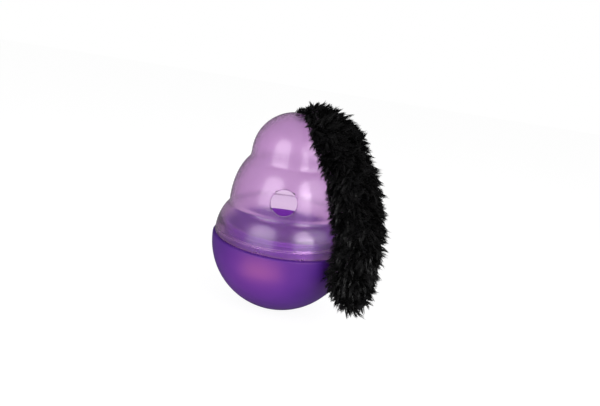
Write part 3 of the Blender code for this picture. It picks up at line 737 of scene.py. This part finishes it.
def make_treat_hole_cutter():
    work = bmesh.new()
    turn = Matrix.Rotation(math.pi / 2 - TREAT_HOLE_TILT, 4, "X")
    place = Matrix.Translation((0, -middle_radius, treat_hole_z)) @ turn
    bmesh.ops.create_cone(
        work, cap_ends=True, segments=TREAT_HOLE_SIDES, depth=CUTTER_LENGTH, matrix=place,
        radius1=TREAT_HOLE_RADIUS, radius2=TREAT_HOLE_RADIUS,
    )
    return new_object("treat_hole_cutter", mesh_of(work, "treat_hole_cutter")), place


def round_hole_rims(piece, place):
    """Merges the shortest edges of the treat hole's two rims, then bevels the rims."""
    work = bmesh.new()
    work.from_mesh(piece.data)
    back = place.inverted()

    def rim_edges():
        found = []
        for edge in work.edges:
            distances = [(back @ corner.co).xy.length - TREAT_HOLE_RADIUS for corner in edge.verts]
            on_wall = all(abs(distance) < HOLE_TOLERANCE for distance in distances)
            if on_wall and edge.is_manifold and edge.calc_face_angle() > SHARP_ANGLE:
                found.append(edge)
        return found

    corners = {corner for edge in rim_edges() for corner in edge.verts}
    bmesh.ops.remove_doubles(work, verts=list(corners), dist=SHORTEST_RIM_EDGE)
    rims = rim_edges()
    bmesh.ops.bevel(work, geom=rims, offset=HOLE_EDGE, segments=3, profile=0.5, affect="EDGES", material=-1)
    work.to_mesh(piece.data)
    work.free()
    return len(rims)


def make_dome():
    outer = rounded(dome_side(0), (lower_waist, lower_waist_z), LOWER_WAIST_REACH)
    outer = rounded(outer, (upper_waist, upper_waist_z), UPPER_WAIST_REACH)
    low_corner = inner_waist(lower_mid, seam_z, LOWER_BULB_WIDTH, LOWER_BULB_HEIGHT, lower_waist)
    high_corner = inner_waist(middle_mid, middle_z, MIDDLE_BULB_WIDTH, MIDDLE_BULB_HEIGHT, upper_waist)
    inner = rounded(dome_side(DOME_WALL), low_corner, INNER_LOWER_WAIST_REACH)
    inner = rounded(inner, high_corner, INNER_UPPER_WAIST_REACH)
    inner = [(radius, z) for radius, z in inner if z > neck_top_z + DOME_WALL]
    outline = [(thread_wall_radius, lip_z), (lip_radius, lip_z)] + outer[1:] + [(PIN_HOLE_RADIUS, pad_z)]
    outline += [(PIN_HOLE_RADIUS, pad_z - DOME_WALL)] + inner[::-1] + [(thread_wall_radius, neck_top_z)]
    work = turned(outline, closed=True, steps=THREADED_TURN_STEPS)
    soften(work, [(lip_radius, lip_z), (thread_wall_radius, lip_z)], LIP_ROUNDING)
    dome = finished(work, "dome_shell", lilac_clear)
    beads = []
    for start in range(THREAD_STARTS):
        angle = THREAD_START + math.tau * (start + 0.5) / THREAD_STARTS
        beads.append(
            bead(f"dome_bead_{start}", thread_wall_radius, seam_z + NECK_THREAD_RISE, angle, DOME_THREAD_TURN)
        )
    combine(dome, "UNION", beads)
    cutter, place = make_treat_hole_cutter()
    combine(dome, "DIFFERENCE", [cutter])
    print("bevelled", round_hole_rims(dome, place), "rim edges")
    dome.data.shade_smooth()
    dome.data.set_sharp_from_angle(angle=SHARP_ANGLE)
    return dome


dome_shell = make_dome()
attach(dome_shell, "dome")
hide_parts("dome")
report(dome_shell)

# %% [markdown]
# ## The tail's line
# The tail starts flat on the dome's top, runs down over the upper bulb and hangs beside the rest.
# A few rings along that line, each with its own half thickness and half width, give it its shape,
# and a smooth curve through them gives every place between.

# %% Tail line
TAIL_AZIMUTH = math.radians(-36)
# Each ring's distance out from the dome's axis, its height, half thickness and half width
TAIL_RINGS = (
    (0.00895, 0.12274, 0.0026, 0.0060),
    (0.01445, 0.12150, 0.0036, 0.0090),
    (0.02102, 0.11840, 0.0046, 0.0124),
    (0.02736, 0.11310, 0.0057, 0.0146),
    (0.03325, 0.10590, 0.0066, 0.0138),
    (0.03853, 0.09745, 0.0081, 0.0128),
    (0.04511, 0.08762, 0.0094, 0.0128),
    (0.04900, 0.07690, 0.0098, 0.0128),
    (0.05490, 0.05935, 0.0096, 0.0104),
    (0.05480, 0.04989, 0.0095, 0.0106),
    (0.05420, 0.04043, 0.0092, 0.0118),
    (0.05480, 0.03226, 0.0078, 0.0112),
    (0.05820, 0.02680, 0.0056, 0.0078),
    (0.06350, 0.02330, 0.0030, 0.0040),
)
FIRST_BEND_RING = 6
SECOND_BEND_RING = 9
TAIL_SEAM_RING = 7.5
OUTWARD = np.array((math.cos(TAIL_AZIMUTH), math.sin(TAIL_AZIMUTH), 0.0))
ACROSS = np.array((-math.sin(TAIL_AZIMUTH), math.cos(TAIL_AZIMUTH), 0.0))
UPWARD = np.array((0.0, 0.0, 1.0))


def tail_at(places):
    """Ring values, and the line's direction, at places counted in rings from the root."""
    rings = np.array(TAIL_RINGS)
    low = np.clip(np.floor(places).astype(int), 0, len(rings) - 2)
    t = (places - low)[:, None]
    p, q, r, s = (rings[np.clip(low + k, 0, len(rings) - 1)] for k in (-1, 0, 1, 2))
    turn, twist = 2 * p - 5 * q + 4 * r - s, 3 * q - p - 3 * r + s
    values = (2 * q + (r - p) * t + turn * t**2 + twist * t**3) / 2
    slopes = ((r - p) + 2 * turn * t + 3 * twist * t**2)[:, :2]
    slopes /= np.linalg.norm(slopes, axis=1)[:, None]
    return values, slopes


def tail_frame(places):
    """Centres, directions along and away from the dome, half thickness and half width, as arrays."""
    values, slopes = tail_at(places)
    centres = values[:, :1] * OUTWARD + values[:, 1:2] * UPWARD
    along = slopes[:, :1] * OUTWARD + slopes[:, 1:] * UPWARD
    away = -slopes[:, 1:] * OUTWARD + slopes[:, :1] * UPWARD
    return centres, along, away, values[:, 2:3], values[:, 3:4]


def ring_point(ring):
    """A ring's centre as a point."""
    return Vector(tail_frame(np.array([float(ring)]))[0][0])


def blend_tail(piece, bend_ring):
    """Bakes the piece's placement into its mesh. The line's frame at the ring is worked out but not used, and
    nothing bends.
    """
    centre, along = tail_frame(np.array([float(bend_ring)]))[:2]
    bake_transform(piece)


print("tail reaches from", ring_point(0), "to", ring_point(len(TAIL_RINGS) - 1))

# %% [markdown]
# ## The swivel under the fur
# A small button head pin runs through the dome's flat top. Inside, a rivet head holds it over a
# washer. Under its outer head it holds a short webbing tab, to which the tail's end is sewn, so the
# whole tail can turn round the dome. On the real toy the fur hides all of this.

# %% Pin, washer and tab
PIN_RADIUS = 0.0017
PIN_CLEARANCE = 0.0004
PIN_HEAD_RADIUS = 0.0025
PIN_HEAD_EDGE = 0.0003
PIN_HEAD_CROWN = 0.0003
TAB_THICKNESS = 0.0006
TAB_HALF_WIDTH = 0.0029
WASHER_RADIUS = 0.0044
WASHER_THICKNESS = 0.0010
RIVET_RADIUS = 0.0028
RIVET_HEIGHT = 0.0011
SMALL_STEPS = 48
WEAVE_SCALE = 450
CROWN_STEPS = 8
PIN_ROUNDING = 0.00012
WASHER_ROUNDING = 0.00015

tab_z = pad_z + FIT_GAP
pin_head_z = tab_z + TAB_THICKNESS + FIT_GAP
washer_z = pad_z - DOME_WALL - FIT_GAP
rivet_z = washer_z - WASHER_THICKNESS - FIT_GAP

steel = new_material("steel", Base_Color=(0.58, 0.58, 0.60, 1), Metallic=1.0, Anisotropic=0.4)
join(steel, spread(steel, noise(steel, 900, stretch=(1, 1, 8)), 0.28, 0.40), shader_of(steel), "Roughness")
add_bump(steel, noise(steel, 2500, detail=1.0), 0.1, 0.00003)


webbing = new_material("webbing", Roughness=0.85, Specular_IOR_Level=0.25)
turned_place = add_node(
    webbing, "Mapping", [("Vector", object_place(webbing))], Rotation=(0, 0, -TAIL_AZIMUTH)
).outputs["Vector"]
ribs = [
    add_node(
        webbing, "TexWave", [("Vector", turned_place)], wave_type="BANDS", bands_direction=way,
        Scale=WEAVE_SCALE,
    ).outputs["Fac"]
    for way in ("X", "Y")
]
weave = add_node(webbing, "Math", [(0, ribs[0]), (1, ribs[1])], operation="MULTIPLY").outputs["Value"]
join(
    webbing, colours(webbing, weave, (0.006, 0.006, 0.007), (0.022, 0.022, 0.024)),
    shader_of(webbing), "Base Color",
)
add_bump(webbing, weave, 0.8, 0.00015)


def make_pin():
    rim_z = pin_head_z + PIN_HEAD_EDGE
    outline = arc(0, rim_z, PIN_HEAD_RADIUS, PIN_HEAD_CROWN, math.pi / 2, 0, CROWN_STEPS)
    outline += [(PIN_HEAD_RADIUS, pin_head_z), (PIN_RADIUS, pin_head_z), (PIN_RADIUS, rivet_z)]
    outline += [(RIVET_RADIUS, rivet_z), (RIVET_RADIUS, rivet_z - RIVET_HEIGHT / 2)]
    outline += [(PIN_RADIUS, rivet_z - RIVET_HEIGHT), (0, rivet_z - RIVET_HEIGHT)]
    work = turned(outline, closed=False, steps=SMALL_STEPS)
    soften(work, [(PIN_HEAD_RADIUS, pin_head_z), (RIVET_RADIUS, rivet_z)], PIN_ROUNDING, segments=2)
    return finished(work, "pin", lilac_clear)


def make_washer():
    under_z = washer_z - WASHER_THICKNESS
    inner = PIN_RADIUS + PIN_CLEARANCE
    corners = [(inner, washer_z), (WASHER_RADIUS, washer_z), (WASHER_RADIUS, under_z), (inner, under_z)]
    work = turned(corners, closed=True, steps=SMALL_STEPS)
    soften(work, corners, WASHER_ROUNDING, segments=2)
    return finished(work, "washer", steel)


def make_tab():
    """A strip of webbing with one round end about the pin and the other under the tail's root."""
    work = bmesh.new()
    outer = bmesh.ops.create_circle(
        work, cap_ends=False, segments=SMALL_STEPS, radius=TAB_HALF_WIDTH
    )["verts"]
    for corner in outer:
        if corner.co.x > WELD:
            corner.co.x += TAIL_RINGS[0][0] - TAB_HALF_WIDTH
    bmesh.ops.create_circle(work, cap_ends=False, segments=SMALL_STEPS, radius=PIN_RADIUS + FIT_GAP)
    flat = bmesh.ops.bridge_loops(work, edges=work.edges)["faces"]
    made = bmesh.ops.extrude_face_region(work, geom=flat, use_keep_orig=True)["geom"]
    top = [v for v in made if isinstance(v, bmesh.types.BMVert)]
    bmesh.ops.translate(work, verts=top, vec=(0, 0, TAB_THICKNESS))
    place = Matrix.Translation((0, 0, tab_z)) @ Matrix.Rotation(TAIL_AZIMUTH, 4, "Z")
    bmesh.ops.transform(work, matrix=place, verts=work.verts)
    bmesh.ops.recalc_face_normals(work, faces=work.faces)
    return finished(work, "tab", webbing)


pin = make_pin()
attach(pin, "swivel")
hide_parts("swivel_pin")
washer = make_washer()
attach(washer, "washer")
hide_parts("retaining_washer")
tab = make_tab()
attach(tab, "swivel")
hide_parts("tail_tab")
for piece in (pin, washer, tab):
    report(piece)

# %% [markdown]
# ## The weight inside
# A cast iron weight with one steel screw makes the toy stand up again. Neither can be seen from
# outside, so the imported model's own shapes are kept and only dressed: grey iron with a sand-cast
# skin, and the same steel as the washer.

# %% Weight and screw
cast_iron = new_material("cast_iron", Metallic=0.7, Specular_IOR_Level=0.4)
join(
    cast_iron, colours(cast_iron, noise(cast_iron, 350), (0.10, 0.10, 0.105), (0.20, 0.195, 0.19)),
    shader_of(cast_iron), "Base Color",
)
join(cast_iron, spread(cast_iron, noise(cast_iron, 600), 0.55, 0.75), shader_of(cast_iron), "Roughness")
add_bump(cast_iron, noise(cast_iron, 1200), 0.5, 0.0002)
for node, metal, material_slot in (("ballast", cast_iron, "iron"), ("ballast_screw", steel, "steel")):
    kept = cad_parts[node]
    kept.data.materials.clear()
    kept.data.materials.append(metal)
    report(kept)

# %% [markdown]
# ## The tail's backing
# Long-pile fur is a knitted backing that carries the hairs. The tail is a tube of it, closed at the
# tip and filled with loose fibre. It is made in two lengths with the seam between them where the
# tail doesn't bend. It is as dark as the pile, because it shows between the tufts.

# %% Backing cloth
BACKING_SIDES = 28
RINGS_PER_SPAN = 4
END_BULGE = 0.6  # how far an end stands out, as a share of its half thickness
BACKING_TONES = ((0.004, 0.004, 0.005), (0.010, 0.010, 0.011))

backing_black = new_material("backing_black", Roughness=0.95, Specular_IOR_Level=0.2)
join(
    backing_black, colours(backing_black, noise(backing_black, 500), *BACKING_TONES),
    shader_of(backing_black), "Base Color",
)
add_bump(backing_black, noise(backing_black, 1500), 0.6, 0.0003)


def make_backing(name, first, last):
    """A tube of backing with domed ends, from one ring to another."""
    count = int((last - first) * RINGS_PER_SPAN) + 1
    centres, along, away, thick, wide = tail_frame(np.linspace(first, last, count))
    work = bmesh.new()
    loops = []
    for centre, ahead, outward, half, width in zip(centres, along, away, thick, wide):
        columns = (outward * half, ACROSS * width, ahead, centre)
        stand = Matrix([[column[row] for column in columns] for row in range(3)] + [(0, 0, 0, 1)])
        made = bmesh.ops.create_circle(work, cap_ends=False, segments=BACKING_SIDES, radius=1, matrix=stand)
        loops.append(made["verts"])
    for back, front in zip(loops, loops[1:]):
        for k in range(BACKING_SIDES):
            n = (k + 1) % BACKING_SIDES
            work.faces.new((back[k], back[n], front[n], front[k]))
    for end, ahead in ((0, -along[0]), (-1, along[-1])):
        loop = loops[end]
        middle = work.verts.new(centres[end] + ahead * thick[end] * END_BULGE)
        for k in range(BACKING_SIDES):
            work.faces.new((loop[k], loop[(k + 1) % BACKING_SIDES], middle))
    bmesh.ops.recalc_face_normals(work, faces=work.faces)
    return finished(work, name, backing_black)


last_ring = len(TAIL_RINGS) - 1
backing_upper = make_backing("tail_backing_upper", 0, TAIL_SEAM_RING)
backing_lower = make_backing("tail_backing_lower", TAIL_SEAM_RING, last_ring)
blend_tail(backing_upper, FIRST_BEND_RING)
blend_tail(backing_lower, SECOND_BEND_RING)
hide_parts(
    "tail_sleeve_upper", "tail_sleeve_middle", "tail_stuffing_upper", "tail_stuffing_middle"
)
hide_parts("tail_sleeve_lower", "tail_stuffing_lower")
for backing in (backing_upper, backing_lower):
    report(backing)

# %% [markdown]
# ## Pile
# The pile is what makes the tail. Real hairs cling together in pointed locks, so each lock here is a
# group of thin tapered tufts whose tips gather. One tuft is modelled: a three-sided root that is
# extruded three times, with the last ring closed to a point. An Array modifier makes all the copies,
# and each copy's rings are then made smaller and set along a bent line of its own: it leaves the
# backing nearly upright and leans over towards the tip of the tail. Where that line would dip into
# the toy at rest, it is moved out.

# %% Tuft
TUFT_RADIUS = 0.00030
TUFT_SHARES = (0.0, 0.35, 0.72, 1.0)  # how far along the tuft its rings and point stand
TUFT_TAPERS = (1.0, 0.85, 0.5, 0.0)

fur_black = new_material("fur_black", Specular_IOR_Level=0.5, IOR=1.5)
join(fur_black, spread(fur_black, noise(fur_black, 300), 0.22, 0.36), shader_of(fur_black), "Roughness")
join(
    fur_black, colours(fur_black, noise(fur_black, 130), (0.0004, 0.0004, 0.0005), (0.0125, 0.0121, 0.0127)),
    shader_of(fur_black), "Base Color",
)


def make_tuft():
    """One upright tuft of unit length, its rings at the heights in TUFT_SHARES."""
    work = bmesh.new()
    bmesh.ops.create_circle(work, cap_ends=True, segments=3, radius=1)
    edges = work.edges[:]
    for share in TUFT_SHARES[1:]:
        made = bmesh.ops.extrude_edge_only(work, edges=edges)["geom"]
        edges = [e for e in made if isinstance(e, bmesh.types.BMEdge) and all(v in made for v in e.verts)]
        ring = [v for v in made if isinstance(v, bmesh.types.BMVert)]
        for corner in ring:
            corner.co.z = share
    bmesh.ops.pointmerge(work, verts=ring, merge_co=(0, 0, 1))
    bmesh.ops.recalc_face_normals(work, faces=work.faces)
    return mesh_of(work, "tuft")


tuft = make_tuft()
tuft_points = np.array([v.co for v in tuft.vertices])
tuft_triangles = sum(len(f.vertices) - 2 for f in tuft.polygons)
print("a tuft has", len(tuft_points), "points and", tuft_triangles, "triangles")

# %% [markdown]
# The toy's own outline, as distance from the axis and height, says where the pile may not go. Each
# point is measured to the nearest place on it, and a point that is inside or too near is moved
# straight out.

# %% Keep the pile off the toy
PILE_GAP = 0.0003
OUTLINE_SPACING = 0.0004
POINTS_AT_ONCE = 20000
OUTLINE_STEPS = 60
NEAREST_TO_AXIS = 1e-6


def toy_outline():
    """Close points on the toy's outside, from the foot to the axis on top, with the ways out."""
    foot_angle = -math.acos(FOOT_RADIUS / BASE_RADIUS)
    rim_angle = math.asin(SEAM_RISE / BASE_RADIUS)
    corners = arc(0, base_centre_z, BASE_RADIUS, BASE_RADIUS, foot_angle, rim_angle, OUTLINE_STEPS)
    corners += dome_side(0) + [(PAD_RADIUS * 0.5, pad_z), (0, pad_z)]
    corners = np.array(corners)
    steps = np.linalg.norm(np.diff(corners, axis=0), axis=1)
    length = np.concatenate(([0], np.cumsum(steps)))
    at = np.arange(0, length[-1], OUTLINE_SPACING)
    points = np.stack([np.interp(at, length, corners[:, k]) for k in (0, 1)], axis=1)
    way = np.gradient(points, axis=0)
    way /= np.linalg.norm(way, axis=1)[:, None]
    return points, np.stack([way[:, 1], -way[:, 0]], axis=1)


def clear_of_toy(points):
    """The points with those that reach into the toy moved out of it."""
    line, out = toy_outline()
    cleared = points.copy()
    for first in range(0, len(points), POINTS_AT_ONCE):
        some = cleared[first:first + POINTS_AT_ONCE]
        flat = np.maximum(np.linalg.norm(some[:, :2], axis=1), NEAREST_TO_AXIS)
        side = np.stack([flat, some[:, 2]], axis=1)
        nearest = np.argmin(((side[:, None] - line[None]) ** 2).sum(axis=2), axis=1)
        height = ((side - line[nearest]) * out[nearest]).sum(axis=1)
        lift = np.maximum(PILE_GAP - height, 0)[:, None] * out[nearest]
        some[:, :2] *= (1 + lift[:, 0] / flat)[:, None]
        some[:, 2] += lift[:, 1]
    return cleared


print("outline has", len(toy_outline()[0]), "points")

# %% [markdown]
# The locks are spread evenly by a golden-angle spiral down the tube. Each has its own length, lean
# and twist from a seeded random source, so the tail looks ruffled but comes out the same each time.
# Near the root the pile is shorter and more upright, and at the tip it points onward. Short locks
# grow up from the tab too, longer towards the tail, and lean back over the pin's head.

# %% Pile
LOCK_SPACING = 0.0021
TUFTS_IN_LOCK = 11
LOCK_SPREAD = 0.0014
GATHER = 0.62
TIP_SPREAD = 0.00022
ROOT_DEPTH = 0.0004
BEND_SHARE = 0.42
TAB_LOCKS = 40
TAB_LOCK_LENGTHS = (0.0030, 0.0066)
GOLDEN_ANGLE = math.pi * (3 - math.sqrt(5))
PILE_LENGTHS = (0.0052, 0.0088)
PILE_LEANS = (math.radians(18), math.radians(58))
PILE_TWIST = math.radians(55)
ROOT_LENGTH_SHARE = 0.72
ROOT_UPRIGHT_SHARE = 0.5
ROOT_RINGS = 3.0
END_RINGS = 1.5
END_LEAN = math.radians(30)
LONG_SHARE = 0.14  # of the locks, which stand out by this much
LONG_REACH = 1.22
PILE_SEED = 7
LINE_PLACES = 400  # at which the tail's surface is measured for the locks
END_STRAIGHTENING = 0.6  # how much of the twist is lost at the tip
TAB_BACKWARD = 0.7
TAB_RUFFLE = 0.35
TUFT_LENGTHS = (0.6, 1.0)  # as shares of the lock's length
LEAST_LENGTH = 1e-9


def unit(vectors):
    return vectors / np.maximum(np.linalg.norm(vectors, axis=1), LEAST_LENGTH)[:, None]


def on_backing(places, turns):
    """Points on the backing, with the directions out of it and along it."""
    centres, along, away, thick, wide = tail_frame(places)
    cosine, sine = np.cos(turns)[:, None], np.sin(turns)[:, None]
    points = centres + away * thick * cosine + ACROSS * wide * sine
    return points, unit(away * cosine / thick + ACROSS * sine / wide), along


def lock_places():
    """Where the locks grow: places along the line and turns round it, spread evenly by area."""
    places = np.linspace(0, last_ring, LINE_PLACES)
    centres, _, _, thick, wide = tail_frame(places)
    round_way = math.tau * np.sqrt((thick[:, 0] ** 2 + wide[:, 0] ** 2) / 2)
    steps = np.linalg.norm(np.diff(centres, axis=0), axis=1)
    area = np.concatenate(([0], np.cumsum(steps * (round_way[1:] + round_way[:-1]) / 2)))
    count = int(area[-1] / LOCK_SPACING**2)
    share = (np.arange(count) + 0.5) / count
    return np.interp(share * area[-1], area, places), np.arange(count) * GOLDEN_ANGLE


def tail_locks(chance):
    """The tail's locks: their roots, the ways out, along and growing, their lengths and places."""
    places, turns = lock_places()
    count = len(places)
    roots, out, along = on_backing(places, turns)
    to_root = np.clip(1 - places / ROOT_RINGS, 0, 1)
    to_end = np.clip((places - last_ring + END_RINGS) / END_RINGS, 0, 1)
    length = chance.uniform(*PILE_LENGTHS, count) * (1 - (1 - ROOT_LENGTH_SHARE) * to_root)
    length *= np.where(chance.random(count) < LONG_SHARE, LONG_REACH, 1)
    lean = chance.uniform(*PILE_LEANS, count) * (1 - ROOT_UPRIGHT_SHARE * to_root) + to_end * END_LEAN
    twist = chance.normal(0, 1, count) * PILE_TWIST * (1 - END_STRAIGHTENING * to_end)
    heading = along * np.cos(twist)[:, None] + np.cross(out, along) * np.sin(twist)[:, None]
    way = out * np.cos(lean)[:, None] + heading * np.sin(lean)[:, None]
    return (roots, out, along, way, length), places


def tab_locks(chance):
    """Locks that grow up from the tab, longer towards the tail, and lie back over the pin's head."""
    shares = (np.arange(TAB_LOCKS) + 0.5) / TAB_LOCKS
    outward = shares * TAIL_RINGS[0][0]
    across = chance.uniform(-1, 1, TAB_LOCKS) * TAB_HALF_WIDTH
    roots = outward[:, None] * OUTWARD + across[:, None] * ACROSS + (tab_z + TAB_THICKNESS) * UPWARD
    out, along = np.tile(UPWARD, (TAB_LOCKS, 1)), np.tile(OUTWARD, (TAB_LOCKS, 1))
    backward = -OUTWARD * chance.uniform(0.0, TAB_BACKWARD, TAB_LOCKS)[:, None]
    way = unit(UPWARD + backward + chance.normal(0, TAB_RUFFLE, (TAB_LOCKS, 3)))
    shortest, longest = TAB_LOCK_LENGTHS
    return roots, out, along, way, shortest + (longest - shortest) * shares


def tuft_lines(chance, locks):
    """Each tuft's root, bend and tip, and the lock that it belongs to."""
    roots, out, along, way, length = locks
    owner = np.repeat(np.arange(len(roots)), TUFTS_IN_LOCK)
    total = len(owner)
    spot = chance.normal(0, 0.5, (total, 2)) * LOCK_SPREAD
    side = np.cross(out, along)
    offset = along[owner] * spot[:, :1] + side[owner] * spot[:, 1:]
    reach = length[owner] * chance.uniform(*TUFT_LENGTHS, total)
    own_roots = roots[owner] + offset
    tips = own_roots + way[owner] * reach[:, None] - offset * GATHER
    tips = tips + chance.normal(0, TIP_SPREAD, (total, 3))
    bends = own_roots + out[owner] * (reach * BEND_SHARE)[:, None]
    return (own_roots - out[owner] * ROOT_DEPTH, bends, tips), owner


def make_pile(name, lines):
    """A mesh with one tuft along each line."""
    roots, bends, tips = lines
    count = len(roots)
    seed = new_object(name + "_seed", tuft)
    copies = seed.modifiers.new("copies", "ARRAY")
    copies.count = count
    copies.use_relative_offset = False
    bpy.context.view_layer.update()
    mesh = bpy.data.meshes.new_from_object(seed.evaluated_get(bpy.context.evaluated_depsgraph_get()))
    bpy.data.objects.remove(seed)
    per = len(tuft_points)
    share = np.tile(tuft_points[:, 2], count)[:, None]
    owner = np.repeat(np.arange(count), per)
    a, b, c = roots[owner], bends[owner], tips[owner]
    centre = (1 - share) ** 2 * a + 2 * share * (1 - share) * b + share**2 * c
    ahead = unit((1 - share) * (b - a) + share * (c - b))
    first = unit(np.cross(ahead, np.where(np.abs(ahead[:, 2:]) < 0.9, UPWARD, OUTWARD)))
    second = np.cross(ahead, first)
    size = TUFT_RADIUS * np.interp(share[:, 0], TUFT_SHARES, TUFT_TAPERS)[:, None]
    local = np.tile(tuft_points[:, :2], (count, 1))
    points = clear_of_toy(centre) + (first * local[:, :1] + second * local[:, 1:]) * size
    mesh.vertices.foreach_set("co", points.astype(np.float32).ravel())
    mesh.update()
    mesh.name = name
    mesh.materials.clear()
    mesh.materials.append(fur_black)
    return new_object(name, mesh)


chance = np.random.default_rng(PILE_SEED)
locks, places = tail_locks(chance)
lines, owner = tuft_lines(chance, locks)
above = places[owner] < TAIL_SEAM_RING
pile_upper = make_pile("tail_pile_upper", [line[above] for line in lines])
pile_lower = make_pile("tail_pile_lower", [line[~above] for line in lines])
pile_root = make_pile("tail_pile_root", tuft_lines(chance, tab_locks(chance))[0])
blend_tail(pile_upper, FIRST_BEND_RING)
blend_tail(pile_lower, SECOND_BEND_RING)
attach(pile_root, "swivel")
for pile in (pile_upper, pile_lower, pile_root):
    report(pile)

# %% [markdown]
# ## Light past the pile
# The photograph shows no shadow of the tail on the see-through dome, and the right lamp's highlight
# reaches almost to the pile. So both panels of the right softbox are doubled. The copies light the
# dome alone, and only hard pieces hold them back. The first ones light all the rest with their
# shadows, the pile's own ones too, which give the pile its depth.

# %% Light past the pile
hard_pieces = bpy.data.collections.new("hard_pieces")
for piece in (base_shell, cup, dome_shell, pin, washer, tab):
    hard_pieces.objects.link(piece)
dome_alone = bpy.data.collections.new("dome_alone")
dome_alone.objects.link(dome_shell)
all_but_dome = bpy.data.collections.new("all_but_dome")
all_but_dome.objects.link(dome_shell)
all_but_dome.collection_objects[0].light_linking.link_state = "EXCLUDE"
right_panels = ("softbox_right_high", "softbox_right_low")
for name in right_panels:
    lamp = softboxes[name]
    double = lamp.copy()
    double.name = name + "_dome"
    bpy.context.scene.collection.objects.link(double)
    double.light_linking.receiver_collection = dome_alone
    double.light_linking.blocker_collection = hard_pieces
    lamp.light_linking.receiver_collection = all_but_dome
print("lamps that light the dome alone:", len(right_panels))
